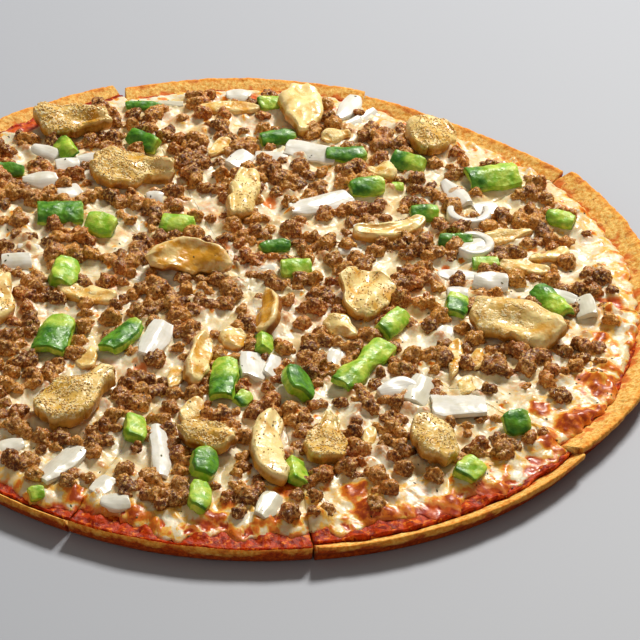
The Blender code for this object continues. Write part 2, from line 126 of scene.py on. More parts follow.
def light_the_table():
    for row in SOFTBOXES:
        hang_softbox(*row)
    world = bpy.data.worlds.new("Pale room")
    world.use_nodes = True
    sky = world.node_tree.nodes["Background"]
    sky.inputs["Color"].default_value = WORLD_COLOUR
    sky.inputs["Strength"].default_value = WORLD_STRENGTH
    bpy.context.scene.world = world
    bpy.context.scene.view_settings.view_transform = "Standard"


def lay_floor():
    bm = bmesh.new()
    bmesh.ops.create_grid(bm, x_segments=1, y_segments=1, size=FLOOR_REACH)
    bmesh.ops.translate(bm, vec=(0, 0, -FLOOR_DROP), verts=bm.verts)
    mesh = bpy.data.meshes.new("floor")
    bm.to_mesh(mesh)
    bm.free()
    paint = bpy.data.materials.new("floor paint")
    paint.use_nodes = True
    shader = paint.node_tree.nodes["Principled BSDF"]
    shader.inputs["Base Color"].default_value = FLOOR_COLOUR
    shader.inputs["Roughness"].default_value = 0.6
    mesh.materials.append(paint)
    floor = bpy.data.objects.new("floor", mesh)
    bpy.context.collection.objects.link(floor)


light_the_table()
lay_floor()

# %% [markdown]
# ## Finishes as small recipes
#
# Each finish is one Principled shader with a few noise patterns in front of it.
# Writing the same ten lines of node code for every pattern would hide the idea,
# so a small class gives each kind of node a short name. Every pattern reads
# Object coordinates, which stay fixed to the piece from whichever side it is
# seen. A pattern's size is given in millimetres.

# %% A finish and its nodes
MIX_FACTOR, MIX_FIRST, MIX_SECOND, MIX_RESULT = 0, 6, 7, 2


def srgb(red, green, blue):
    """A colour as seen on a screen, from 0 to 255, as the linear light that a shader takes."""
    light = [((part / 255 + 0.055) / 1.055) ** 2.4 for part in (red, green, blue)]
    return (*light, 1.0)


class Finish:
    """One material. Each method adds a node and gives back its output."""

    def __init__(self, name, **sockets):
        self.material = bpy.data.materials.new(name)
        self.material.use_nodes = True
        self.tree = self.material.node_tree
        self.shader = self.tree.nodes["Principled BSDF"]
        self.place = self.node("TexCoord").outputs["Object"]
        for socket, value in sockets.items():
            self.shader.inputs[socket.replace("_", " ")].default_value = value

    def node(self, kind, settings=(), **inputs):
        made = self.tree.nodes.new("ShaderNode" + kind)
        for name, value in dict(settings).items():
            setattr(made, name, value)
        for name, value in inputs.items():
            self.feed(made.inputs[name], value)
        return made

    def feed(self, socket, value):
        if isinstance(value, bpy.types.NodeSocket):
            self.tree.links.new(value, socket)
        else:
            socket.default_value = value

    def set(self, socket, value):
        self.feed(self.shader.inputs[socket], value)

    def noise(self, size, detail=3.0, rough=0.55):
        made = self.node("TexNoise", Vector=self.place, Scale=1 / (size * MM), Detail=detail,
                         Roughness=rough)
        return made.outputs["Fac"]

    def cells(self, size):
        made = self.node("TexVoronoi", Vector=self.place, Scale=1 / (size * MM))
        return made.outputs["Distance"]

    def attribute(self, name):
        return self.node("Attribute", {"attribute_name": name}).outputs["Fac"]

    def spread(self, value, low, high, to_low=0.0, to_high=1.0):
        made = self.node("MapRange", {"interpolation_type": "SMOOTHSTEP"}, Value=value)
        ends = {"From Min": low, "From Max": high, "To Min": to_low, "To Max": to_high}
        for name, number in ends.items():
            self.feed(made.inputs[name], number)
        return made.outputs["Result"]

    def maths(self, operation, first, second):
        made = self.node("Math", {"operation": operation})
        self.feed(made.inputs[0], first)
        self.feed(made.inputs[1], second)
        return made.outputs[0]

    def mix(self, factor, first, second):
        made = self.node("Mix", {"data_type": "RGBA"})
        self.feed(made.inputs[MIX_FACTOR], factor)
        self.feed(made.inputs[MIX_FIRST], first)
        self.feed(made.inputs[MIX_SECOND], second)
        return made.outputs[MIX_RESULT]

    def between(self, value, low, high, first, second):
        """One screen colour turning into another as a value rises from low to high."""
        return self.mix(self.spread(value, low, high), srgb(*first), srgb(*second))

    def tint(self, base, colour, value, low, high, most=1.0):
        """A screen colour laid over a base, more as a value rises, up to a most."""
        return self.mix(self.spread(value, low, high, 0.0, most), base, srgb(*colour))

    def wander(self, value, pattern, down, up):
        """A value that a pattern moves down and up, so that no border is straight."""
        return self.maths("ADD", value, self.spread(pattern, 0.3, 0.7, down, up))

    def bump(self, height, depth, under=None):
        made = self.node("Bump", Height=height, Distance=depth * MM)
        if under:
            self.feed(made.inputs["Normal"], under)
        return made.outputs["Normal"]


# %% [markdown]
# ## From a bmesh to a finished piece
#
# Each piece ends in the same way: its faces are turned outwards, it becomes a
# mesh with its finish, it is hung on the body that it rides on, and the imported
# nodes that it takes the place of are hidden.

# %% Finish a piece
def finish_piece(name, shape, finish, replaces=()):
    bmesh.ops.recalc_face_normals(shape, faces=shape.faces)
    mesh = bpy.data.meshes.new(name)
    shape.to_mesh(mesh)
    shape.free()
    mesh.shade_smooth()
    mesh.materials.append(finish.material)
    piece = bpy.data.objects.new(name, mesh)
    bpy.context.collection.objects.link(piece)
    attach(piece, "root")
    if replaces:
        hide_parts(*replaces)
    return piece


def add_modifiers(thing, modifiers):
    """Modifiers for an object, each a kind and its settings."""
    for kind, settings in modifiers:
        modifier = thing.modifiers.new(kind, kind)
        for name, value in settings.items():
            setattr(modifier, name, value)


def evaluated_mesh(bm, *modifiers):
    """The mesh that a bmesh becomes under modifiers."""
    mesh = bpy.data.meshes.new("rough")
    bm.to_mesh(mesh)
    bm.free()
    rough = bpy.data.objects.new("rough", mesh)
    bpy.context.collection.objects.link(rough)
    add_modifiers(rough, modifiers)
    view = bpy.context.evaluated_depsgraph_get()
    made = bpy.data.meshes.new_from_object(rough.evaluated_get(view))
    bpy.data.objects.remove(rough, do_unlink=True)
    bpy.data.meshes.remove(mesh)
    return made


def ripple(name, kind, size, strength):
    """A Displace modifier's settings: relief of one size, up to a strength, both in millimetres."""
    texture = bpy.data.textures.new(name, kind)
    texture.noise_scale = size * MM
    return "DISPLACE", {"texture": texture, "texture_coords": "LOCAL", "strength": strength * MM,
                        "mid_level": 0.5}


# %% [markdown]
# ## The ten slices
#
# A pizza is never a perfect circle. Each row holds one slice: the bearing of its
# first cut, the lip's radius at the first cut, in the middle and at the last
# cut, the rim's width, the lip's height, the width of the sauce that shows
# inside the rim, and how far the first cut has opened at the lip. The rows
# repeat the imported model's, so that the fine surfaces land exactly on it.

# %% Slices
LIP_RADIUS = 178 * MM
BASE_INSET = 4.3 * MM
HEEL = 1.4 * MM
RIM_WIDTH = 8 * MM
LIP_HEIGHT = 9.6 * MM
BED_HEIGHT = 5.0 * MM
SEAM = 0.3 * MM
SAUCE_BOTTOM = BED_HEIGHT + SEAM
SAUCE_TOP = SAUCE_BOTTOM + 1.0 * MM
CHEESE_BOTTOM = SAUCE_TOP + SEAM
CHEESE_TOP = CHEESE_BOTTOM + 1.9 * MM
CUT_WIDTH = 0.8 * MM
OPENS_FROM = 0.96
OPENING_CURVE = 1.5

Slice = namedtuple("Slice", "start first middle last rim lip band notch")
SLICES = (
    Slice(-36.4, 173.0, 176.5, 178.0, 13, 11.0, 2.0, 2.6),
    Slice(1.0, 178.0, 179.0, 180.0, 13, 11.4, 1.5, 1.4),
    Slice(38.5, 177.5, 172.5, 175.5, 10, 10.2, 1.5, 4.0),
    Slice(75.0, 179.5, 179.8, 176.5, 9, 9.8, 2.0, 1.6),
    Slice(113.0, 181.0, 178.5, 177.5, 8, 9.6, 2.5, 4.4),
    Slice(142.0, 178.0, 178.5, 178.0, 8, 9.6, 2.0, 1.5),
    Slice(178.0, 178.0, 178.5, 177.5, 7, 9.4, 2.5, 1.5),
    Slice(213.0, 178.0, 177.0, 178.0, 5, 9.3, 3.5, 1.5),
    Slice(249.5, 177.5, 178.5, 177.5, 4, 9.3, 7.0, 1.8),
    Slice(281.2, 178.5, 177.5, 175.0, 8, 9.8, 6.5, 2.4),
)


def clamp(value):
    return min(max(value, 0.0), 1.0)


def through_three(first, middle, last, share):
    """The smooth curve through three values, at a share from 0 to 1."""
    return (first * (2 * share - 1) * (share - 1)
            + middle * 4 * share * (1 - share)
            + last * share * (2 * share - 1))


def lip_radius(cut, share):
    return through_three(cut.first, cut.middle, cut.last, share) * MM


def bed_edge(cut, share):
    return lip_radius(cut, share) - cut.rim * MM


def next_cut(cut):
    following = SLICES[(SLICES.index(cut) + 1) % len(SLICES)]
    end = following.start
    if end < cut.start:
        end += 360
    return following, end


def half_cut(notch, radius, closed):
    """Half the width of a cut, which opens in the rim."""
    opening = max(0.0, (radius / LIP_RADIUS - OPENS_FROM) / (1 - OPENS_FROM)) ** OPENING_CURVE
    return 0.5 * (closed + (notch * MM - closed) * opening)


def slice_point(cut, share, radius, height, opened=0.0, closed=CUT_WIDTH):
    """A point of the slice, at a share of the way from its first cut to its last."""
    following, end = next_cut(cut)
    radius = max(radius, 0.5 * closed / math.sin(math.radians(end - cut.start) / 2))
    width_at = radius * opened
    first = math.radians(cut.start) + math.asin(half_cut(cut.notch, width_at, closed) / radius)
    last = math.radians(end) - math.asin(half_cut(following.notch, width_at, closed) / radius)
    if last < first:
        first = last = (first + last) / 2
    bearing = first + (last - first) * share
    return Vector((radius * math.cos(bearing), radius * math.sin(bearing), height))


def slice_at(x, y):
    """The slice that a spot is in, its share of the way round, and its distance from the cuts."""
    bearing = math.degrees(math.atan2(y, x))
    radius = math.hypot(x, y)
    for cut in SLICES:
        _, end = next_cut(cut)
        turned = (bearing - cut.start) % 360
        if turned < end - cut.start:
            inside = min(turned, end - cut.start - turned, 90)
            return cut, turned / (end - cut.start), radius * math.sin(math.radians(inside))
    raise ValueError("a bearing with no slice")


def dress_slices(name, slot, shape_of, finish):
    """One piece for every slice, in place of the slice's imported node."""
    for number, cut in enumerate(SLICES, start=1):
        finish_piece(f"{name}_{number:02d}", shape_of(cut), finish, [f"{slot}_{number:02d}"])


print(len(SLICES), "slices,", round(2 * LIP_RADIUS / MM), "mm across")

# %% [markdown]
# ## The crust
#
# The edge of a thin pan crust is the part that bakes hardest: a flared wall, a
# low golden lip and a dry slope down to the sauce. It could be sculpted, but a
# section spun about the middle gives the right thickness everywhere, and a
# little noise along the section's own plane then makes it bready. Pushing only
# along that plane keeps the two cut faces of a slice flat.

# %% The crust's section
RIM_STEP = 0.75 * MM


def soften(points, rounds):
    """Cut a path's corners again and again, which rounds them."""
    for _ in range(rounds):
        smooth = [points[0]]
        for (a, b), (c, d) in zip(points, points[1:]):
            smooth.append((0.75 * a + 0.25 * c, 0.75 * b + 0.25 * d))
            smooth.append((0.25 * a + 0.75 * c, 0.25 * b + 0.75 * d))
        points = smooth + [points[-1]]
    return points


def even_steps(points, step):
    """The same path with its corners an even step apart."""
    lengths = [math.dist(first, last) for first, last in zip(points, points[1:])]
    along = np.concatenate([[0.0], np.cumsum(lengths)])
    stops = np.linspace(0.0, along[-1], round(along[-1] / step) + 1)
    radii = np.interp(stops, along, [point[0] for point in points])
    heights = np.interp(stops, along, [point[1] for point in points])
    return list(zip(radii.tolist(), heights.tolist()))


def crust_section():
    """The mean slice's outline in radius and height, from the base's middle to the bed."""
    wall = LIP_RADIUS - BASE_INSET
    inner = LIP_RADIUS - RIM_WIDTH
    rim = [
        (wall - 2 * HEEL, 0.0),
        (wall - 0.3 * HEEL, 0.0),
        (wall, 0.6 * HEEL),
        (wall + 0.4 * MM, 2 * HEEL),
        (LIP_RADIUS - 0.2 * MM, LIP_HEIGHT - 3.2 * MM),
        (LIP_RADIUS + 0.2 * MM, LIP_HEIGHT - 0.7 * MM),
        (LIP_RADIUS - 0.4 * MM, LIP_HEIGHT + 0.2 * MM),
        (LIP_RADIUS - 0.22 * RIM_WIDTH, LIP_HEIGHT - 0.4 * MM),
        (LIP_RADIUS - 0.55 * RIM_WIDTH, BED_HEIGHT + 2.7 * MM),
        (LIP_RADIUS - 0.88 * RIM_WIDTH, BED_HEIGHT + 1.1 * MM),
        (inner, BED_HEIGHT),
        (inner - 2 * MM, BED_HEIGHT),
    ]
    rim = even_steps(soften(rim, 3), RIM_STEP)
    bed = [(inner * share, BED_HEIGHT) for share in (0.8, 0.4, 0.0)]
    base = [(wall * share, 0.0) for share in (0.0, 0.4, 0.8)]
    return base + rim + bed


# %% Spin the crust and bake its relief
WEDGE_TURN = 1.0
RIM_FACETS = 130
# Waves to the metre along the lip, and how far they lift it.
LIP_WAVES, LIP_SWAY = 45, 0.5 * MM
# A rim this wide in millimetres is crisp, and one that wide is all bread.
THIN_RIM, BREADY_RIM = 5, 13
RELIEF_FROM = 140 * MM
RELIEF_FADE = 3 * MM
RELIEF_SUNK = 0.3
FLAT_BASE = 0.4 * MM
PORE_LEVEL = 0.18


def spun_section(section):
    """Spin a closed section about the middle, through one radian."""
    bm = bmesh.new()
    corners = [bm.verts.new((radius, 0.0, height)) for radius, height in section]
    face = bm.faces.new(corners)
    bmesh.ops.spin(bm, geom=[face, *face.edges, *face.verts], cent=(0, 0, 0), axis=(0, 0, 1),
                   dvec=(0, 0, 0), angle=WEDGE_TURN, steps=RIM_FACETS, use_merge=False,
                   use_duplicate=False)
    return bm


def crust_place(cut, share, radius, height):
    """The mean section's point, moved to this slice's own lip, rim and wall."""
    mean_edge = LIP_RADIUS - RIM_WIDTH
    wall = LIP_RADIUS - BASE_INSET
    if radius > mean_edge:
        across = (radius - mean_edge) / RIM_WIDTH
        on_rim = bed_edge(cut, share) + across * cut.rim * MM
        on_base = radius * (lip_radius(cut, share) - BASE_INSET) / wall
        climb = 1.0
        if radius > wall - 2.5 * HEEL and height < BED_HEIGHT - 0.2 * MM:
            climb = min(height / (2 * HEEL), 1.0)
        radius = on_base + (on_rim - on_base) * climb
    else:
        radius *= bed_edge(cut, share) / mean_edge
    if height > BED_HEIGHT:
        rise = (height - BED_HEIGHT) / (LIP_HEIGHT - BED_HEIGHT)
        height = BED_HEIGHT + rise * (cut.lip * MM - BED_HEIGHT)
        spot = slice_point(cut, share, radius, 0.0) * LIP_WAVES
        height += rise * LIP_SWAY * noise.noise(spot)
    return slice_point(cut, share, radius, height, opened=1.0)


def crust_relief(where, bready):
    """How far the baked surface stands out at a spot, both in millimetres."""
    swell = noise.noise(where / 11) * 0.7 + noise.noise(where / 5) * 0.35
    crumb = noise.noise(where / 2.2 + Vector((7, 0, 0)))
    pore = max(0.0, noise.noise(where / 1.5 + Vector((0, 9, 0))) - PORE_LEVEL)
    raised = (0.25 + 0.7 * bready) * swell + (0.14 + 0.14 * bready) * crumb
    return raised - (0.3 + 0.7 * bready) * pore - RELIEF_SUNK


def crust_mesh(cut):
    bm = spun_section(crust_section())
    rise, bread, wet = [bm.verts.layers.float.new(name) for name in ("rise", "bready", "wet")]
    bready = clamp((cut.rim - THIN_RIM) / (BREADY_RIM - THIN_RIM))
    for vert in bm.verts:
        x, y, height = vert.co
        radius = math.hypot(x, y)
        share = math.atan2(y, x) / WEDGE_TURN if radius > MM else 0.5
        vert.co = crust_place(cut, clamp(share), radius, height)
        vert[rise] = max(0.0, height - HEEL) / (LIP_HEIGHT - HEEL)
        vert[bread] = bready
        vert[wet] = clamp((LIP_RADIUS - radius) / RIM_WIDTH) if height > BED_HEIGHT else 0.0
    bmesh.ops.remove_doubles(bm, verts=bm.verts, dist=0.01 * MM)
    bmesh.ops.recalc_face_normals(bm, faces=bm.faces)
    bm.normal_update()
    for vert in bm.verts:
        level = math.hypot(vert.co.x, vert.co.y)
        if level < RELIEF_FROM or vert.co.z < FLAT_BASE:
            continue
        outwards = Vector((vert.co.x, vert.co.y, 0.0)) / level
        along = vert.normal.dot(outwards)
        depth = crust_relief(vert.co / MM, bready) * MM
        fade = min(vert.co.z / RELIEF_FADE, 1.0)
        move = outwards * along + Vector((0, 0, vert.normal.z))
        vert.co += move * depth * fade
    return bm


# %% [markdown]
# ### Baked bread
#
# Browning follows heat: the top of the lip is pale gold, the wall that touched
# the pan is a deeper orange brown, and the broad rim is freckled with dark
# specks. The shader mixes those colours by how high a point is on the rim, and
# two sizes of noise break the mix up.

# %% Crust finish
def crust_finish():
    bread = Finish("baked crust", Roughness=0.66, Subsurface_Weight=0.12, Subsurface_Scale=0.002,
                   Specular_IOR_Level=0.18)
    patchy = bread.noise(9, 4)
    fine = bread.noise(1.6, 5, 0.7)
    wet = bread.attribute("wet")
    height = bread.wander(bread.attribute("rise"), patchy, -0.28, 0.28)
    wall = bread.between(fine, 0.35, 0.7, (150, 42, 0), (216, 90, 0))
    lip = bread.between(fine, 0.3, 0.7, (220, 124, 14), (248, 188, 82))
    slope = bread.between(fine, 0.34, 0.66, (220, 146, 42), (252, 216, 128))
    colour = bread.mix(bread.spread(height, 0.45, 0.95), wall, lip)
    across = bread.wander(wet, patchy, -0.12, 0.12)
    colour = bread.mix(bread.spread(across, 0.12, 0.35), colour, slope)
    specks = bread.spread(bread.noise(3.4, 5, 0.65), 0.59, 0.72)
    scorch = bread.maths("MULTIPLY", specks, bread.attribute("bready"))
    colour = bread.mix(bread.maths("MULTIPLY", scorch, 0.75), colour, srgb(120, 58, 18))
    soaked = bread.wander(wet, bread.noise(6, 3), -0.3, 0.3)
    colour = bread.tint(colour, (214, 92, 16), soaked, 0.66, 0.95, 0.8)
    bread.set("Base Color", colour)
    grain = bread.bump(fine, 0.35)
    bread.set("Normal", bread.bump(bread.cells(2.8), 0.2, grain))
    return bread


dress_slices("baked_crust", "crust", crust_mesh, crust_finish())

# %% [markdown]
# ## Where the toppings lie
#
# Everything that comes later has to know where the toppings are: cheese rises a
# little against them, and beef crumbs lie beside them. So their rows come first.
# A row holds a piece's middle, length, width and thickness in millimetres, then
# in degrees the way its length points, its lean about that, its bend in plan and
# its curl across. The last two numbers are looks: a tone that goes from light at
# 0 to dark at 1, and how much dry seasoning lies on it.

# %% The larger toppings
CAP_AND_STEM = (0.62, 1.0, 0.90, 0.45, 0.38)
HALF_MOON = (0.45, 0.90, 1.0, 0.90, 0.45)
ROUND = (0.60, 0.95, 1.0, 0.95, 0.60)
STRIP = (0.70, 1.0, 1.0, 1.0, 0.70)
BLOCK = (0.88, 1.0, 1.0, 1.0, 0.88)
PINCHED = (0.80, 1.0, 0.66, 1.0, 0.90)
TAPER = (0.35, 0.72, 1.0, 1.0, 0.62)
PETAL = (0.56, 0.86, 1.0, 0.97, 0.78)

Topping = namedtuple("Topping", "x y length width thick turn lean bend curl shape tone dust")


def rows_of(kind, rows):
    return [kind(*row) for row in rows]


MUSHROOMS = rows_of(Topping, (
    (-88, 122, 34, 27, 6.1, 5, -6, 0, -30, CAP_AND_STEM, 0.5, 1.0),
    (16, 144, 40, 20, 6.0, 92, 10, 12, -25, TAPER, 0.1, 0.1),
    (76, 127, 28, 23, 6.0, 78, 8, 0, -25, TAPER, 0.3, 0.6),
    (-57, 83, 38, 26, 6.5, 2, 8, 0, -30, CAP_AND_STEM, 0.4, 1.0),
    (-27, 13, 38, 17, 5.5, 0, 27, -58, 0, HALF_MOON, 0.8, 0.0),
    (-7, 68, 38, 13, 6.0, 84, 16, 18, -20, STRIP, 0.2, 0.5),
    (60, 47, 36, 9, 6.0, 24, 10, 62, 0, STRIP, 0.2, 0.0),
    (49, -6, 34, 24, 5.5, 84, 8, 0, 20, TAPER, 0.35, 0.3),
    (114, -22, 42, 25, 6.2, -18, 8, 14, -36, ROUND, 0.25, 0.6),
    (11, -24, 32, 12, 5.0, 268, 44, -16, -20, TAPER, 1.1, 0.0),
    (-107, -25, 34, 22, 6.0, 78, 8, 0, -25, CAP_AND_STEM, 0.2, 0.3),
    (-64, -92, 44, 25, 7.5, 55, -8, 10, -35, CAP_AND_STEM, 0.3, 0.8),
    (-19, -60, 34, 10, 5.5, 84, 26, 14, 0, STRIP, 0.5, 0.1),
    (-11, -115, 23, 15, 6.0, -12, 0, 0, -30, ROUND, 0.7, 1.0),
    (12, -119, 44, 13, 6.5, 96, 8, -58, 0, STRIP, 0.1, 0.2),
    (36, -110, 32, 18, 6.0, 84, 8, 0, -25, CAP_AND_STEM, 0.5, 0.8),
    (79, -107, 29, 19, 6.0, 104, 8, 0, -25, ROUND, 0.3, 0.8),
))
PEPPERS = rows_of(Topping, (
    (105, 97, 24, 16, 3.7, 18, 10, 0, -70, BLOCK, 0.35, 0),
    (-79, -49, 23, 16, 3.7, 82, -8, 0, -80, BLOCK, 0.6, 0),
    (50, -56, 36, 13, 3.7, 60, 8, 10, -80, PINCHED, 0.2, 0),
    (129, -1, 22, 11, 3.7, -56, 14, 0, -80, BLOCK, 0.45, 0),
    (-7, -72, 26, 12, 3.7, 88, -12, 0, -80, BLOCK, 0.5, 0),
    (-86, 46, 20, 15, 3.7, 8, 8, 0, -70, BLOCK, 0.9, 0),
    (-51, -47, 23, 12, 3.7, 62, -14, 0, -80, STRIP, 0.8, 0),
))
ONIONS = rows_of(Topping, (
    (-37, -46, 26, 12, 1.9, 76, 10, 10, -60, PETAL, 0.1, 0),
    (89, -79, 22, 17, 1.9, 6, -8, 0, -45, BLOCK, 0.1, 0),
    (28, 68, 30, 12, 1.9, 30, 8, 16, -45, PETAL, 0.1, 0),
    (22, 112, 24, 13, 1.9, -12, 8, 0, -50, BLOCK, 0.1, 0),
    (-29, -122, 34, 8, 1.9, 97, 12, 10, -60, STRIP, 0.1, 0),
    (-67, -134, 26, 11, 1.9, 60, -8, 8, -50, PETAL, 0.4, 0),
))

# %% [markdown]
# The smaller pieces are baked into the cheese. Their rows hold the middle, the
# length, the width, the height above the cheese, the way the length points and
# the same tone.

# %% The smaller toppings
Piece = namedtuple("Piece", "x y length width height turn tone")
SMALL_MUSHROOMS = rows_of(Piece, (
    (-18, 148, 30, 9, 4.0, 8, 0.4), (110, 52, 27, 10, 4.0, 25, 0.3),
    (-68, -14, 26, 12, 4.5, -8, 0.4), (118, 27, 22, 10, 4.0, -10, 0.3),
    (129, 37, 20, 9, 4.0, 30, 0.2), (55, 98, 14, 13, 4.0, 0, 0.4), (40, -29, 16, 14, 4.0, -40, 0.2),
    (-5, -42, 14, 11, 4.0, 90, 0.5), (-19, -94, 17, 9, 4.0, 70, 0.4),
    (88, -45, 28, 7, 4.5, 86, 0.7), (-20, 111, 18, 8, 4.0, 65, 0.4),
    (-27, -71, 16, 7, 3.5, 85, 0.4), (33, 128, 14, 10, 3.5, 20, 0.3),
    (97, -45, 15, 6, 4.0, 84, 0.8), (53, -103, 13, 6, 3.5, 80, 0.2),
    (-63, -60, 16, 10, 3.5, 80, 0.2), (93, -63, 13, 9, 3.0, 80, 0.2),
    (-142, 44, 24, 12, 4.0, 70, 0.4), (-128, -66, 26, 11, 4.0, -50, 0.3),
    (-150, -26, 20, 11, 4.0, 85, 0.2),
))
SMALL_PEPPERS = rows_of(Piece, (
    (61, -24, 20, 10, 3.5, 60, 0.2), (-80, -2, 22, 12, 4.0, 86, 0.1),
    (22, -74, 20, 12, 4.0, 100, 1.0), (-67, 38, 16, 12, 3.5, -20, 0.1),
    (38, 111, 22, 9, 3.5, 10, 0.9), (67, 106, 19, 10, 3.5, -25, 0.5), (6, 122, 20, 8, 3.0, 20, 0.9),
    (48, 83, 19, 10, 3.5, 15, 0.6), (-12, -151, 19, 9, 3.5, 92, 0.2),
    (-12, -131, 18, 11, 4.0, 88, 0.8), (24, -132, 17, 8, 3.5, 100, 0.1),
    (93, -122, 14, 11, 3.5, 60, 0.2), (112, -90, 13, 11, 3.5, 20, 0.8),
    (-41, -109, 17, 9, 3.5, 95, 0.1), (135, 67, 15, 9, 3.0, -20, 0.2),
    (74, 65, 15, 9, 3.5, 10, 0.6), (88, -7, 16, 10, 3.5, 85, 0.6), (19, 14, 16, 9, 3.0, 10, 0.1),
    (-54, 111, 19, 9, 3.5, -35, 0.9), (-88, 100, 15, 9, 3.5, -65, 0.2),
    (-114, 81, 20, 7, 3.0, 0, 1.0), (7, -44, 14, 7, 3.5, 92, 0.1), (9, 32, 16, 6, 3.0, 15, 0.9),
    (-34, 43, 18, 10, 3.0, 0, 0.1), (88, 45, 18, 6, 3.0, 5, 0.9), (101, 29, 14, 6, 3.0, 10, 0.2),
    (1, 153, 12, 8, 3.0, 10, 0.2), (62, 88, 7, 5, 2.5, 0, 0.1), (-57, 145, 20, 5, 2.5, 0, 1.0),
    (1, -83, 9, 7, 3.0, 60, 0.3), (-75, -152, 7, 6, 2.5, 20, 0.1), (-130, 16, 18, 11, 3.5, 20, 0.2),
    (-148, -58, 17, 10, 3.5, -60, 0.9), (-104, -104, 17, 11, 3.5, 40, 0.6),
    (-138, 74, 15, 10, 3.5, 50, 0.8),
))
SMALL_ONIONS = rows_of(Piece, (
    (64, -70, 18, 11, 3.0, 20, 0.1), (38, 154, 24, 10, 3.0, 70, 0.1),
    (88, 84, 22, 10, 3.0, -60, 0.1), (103, 12, 16, 12, 3.5, 0, 0.1),
    (144, -2, 15, 10, 3.0, -80, 0.5), (-98, 98, 15, 9, 3.0, -30, 0.1),
    (-98, 74, 17, 10, 3.0, 10, 0.2), (-84, 66, 12, 10, 3.0, 30, 0.1),
    (4, -60, 18, 11, 3.5, 95, 0.1), (15, -152, 16, 10, 2.5, 70, 0.7),
    (-50, -145, 13, 9, 3.0, 60, 0.4), (97, 40, 14, 12, 3.0, 45, 0.3),
    (-10, 102, 14, 10, 3.0, 60, 0.1), (-14, 160, 12, 8, 2.5, 0, 0.2), (-77, 94, 14, 8, 2.5, 0, 0.1),
    (-87, 88, 12, 9, 2.5, 20, 0.2), (-45, 150, 13, 4, 2.0, 0, 0.6), (44, 147, 22, 5, 2.5, 50, 0.1),
    (4, 108, 16, 8, 2.5, 0, 0.2), (-46, 67, 8, 7, 2.5, 0, 0.1), (-101, 7, 14, 9, 2.5, 10, 0.2),
    (-97, 21, 10, 4, 2.0, 0, 0.2), (48, 53, 11, 6, 2.5, 10, 0.1), (42, 33, 11, 5, 2.5, 0, 0.2),
    (7, 15, 7, 6, 2.0, 0, 0.1), (102, 74, 12, 10, 2.5, 30, 0.1), (89, 19, 18, 8, 2.5, 0, 0.1),
    (89, 5, 10, 9, 3.0, 0, 0.1), (120, 6, 14, 5, 2.5, 0, 0.1), (133, 4, 16, 9, 3.0, -30, 0.2),
    (12, -58, 15, 6, 3.0, 80, 0.1), (38, -49, 12, 8, 2.5, 80, 0.3), (83, -27, 13, 7, 3.0, 80, 0.2),
    (73, -70, 20, 11, 2.5, 75, 0.5), (-44, -155, 12, 9, 2.5, 0, 0.3),
    (-134, -44, 20, 11, 3.0, -20, 0.1), (-156, 22, 16, 9, 3.0, 80, 0.1),
    (-110, -56, 15, 10, 3.0, 10, 0.2), (-90, -124, 16, 9, 3.0, 30, 0.3),
    (-122, 46, 14, 10, 3.0, 0, 0.1),
))
ONION_RINGS = rows_of(Topping, (
    (94, 59, 36, 4.2, 5.2, 0, 0, 250, -50, STRIP, 0.1, 0),
    (103, 40, 34, 4.2, 5.2, 80, 0, 260, -50, STRIP, 0.1, 0),
))

print(len(MUSHROOMS) + len(PEPPERS) + len(ONIONS), "larger toppings,",
      len(SMALL_MUSHROOMS) + len(SMALL_PEPPERS) + len(SMALL_ONIONS), "smaller ones")

# %% [markdown]
# A topping's footprint is kept as a short chain of discs along its length. A
# distance to a disc is one subtraction, so thousands of spots can be tested at
# once.

# %% Footprints
CHAIN = (-0.4, -0.2, 0.0, 0.2, 0.4)
DISC_SHARE = 0.46


def arc(along, angle):
    """Where a length lies once it is bent through an angle: forward, aside."""
    if abs(angle) < 0.01:
        return along, 0.0
    radius = 1.0 / angle
    return math.sin(along * angle) * radius, (1 - math.cos(along * angle)) * radius


def footprint(row):
    """Discs in millimetres that cover a topping: x, y and radius."""
    shape = getattr(row, "shape", STRIP)
    turn = math.radians(row.turn)
    discs = []
    for station, share in zip(CHAIN, shape):
        forward, aside = arc(station, math.radians(getattr(row, "bend", 0)))
        forward, aside = forward * row.length, aside * row.length
        discs.append((row.x + forward * math.cos(turn) - aside * math.sin(turn),
                      row.y + forward * math.sin(turn) + aside * math.cos(turn),
                      DISC_SHARE * row.width * share))
    return discs


TOPPINGS = (*MUSHROOMS, *PEPPERS, *ONIONS,
            *SMALL_MUSHROOMS, *SMALL_PEPPERS, *SMALL_ONIONS, *ONION_RINGS)
TOPPED = np.array([disc for row in TOPPINGS for disc in footprint(row)])


def gap_to(discs, xs, ys):
    """Each spot's distance in millimetres to the nearest disc's edge, below zero inside it."""
    nearest = np.full(len(xs), 1e3)
    for x, y, radius in discs:
        nearest = np.minimum(nearest, np.hypot(xs - x, ys - y) - radius)
    return nearest


# %% [markdown]
# ## Beef crumbs: where they fall
#
# Cooked mince falls in clumps of little nodules, each as large as a pea, with
# bare cheese between the clumps. Seeded throws do this well: a throw is kept if
# it lands beside the toppings, off the bare patches and just touching its
# neighbours. A slow noise field thins the throws in some places, and a second
# pass lays a few nodules on top of others.

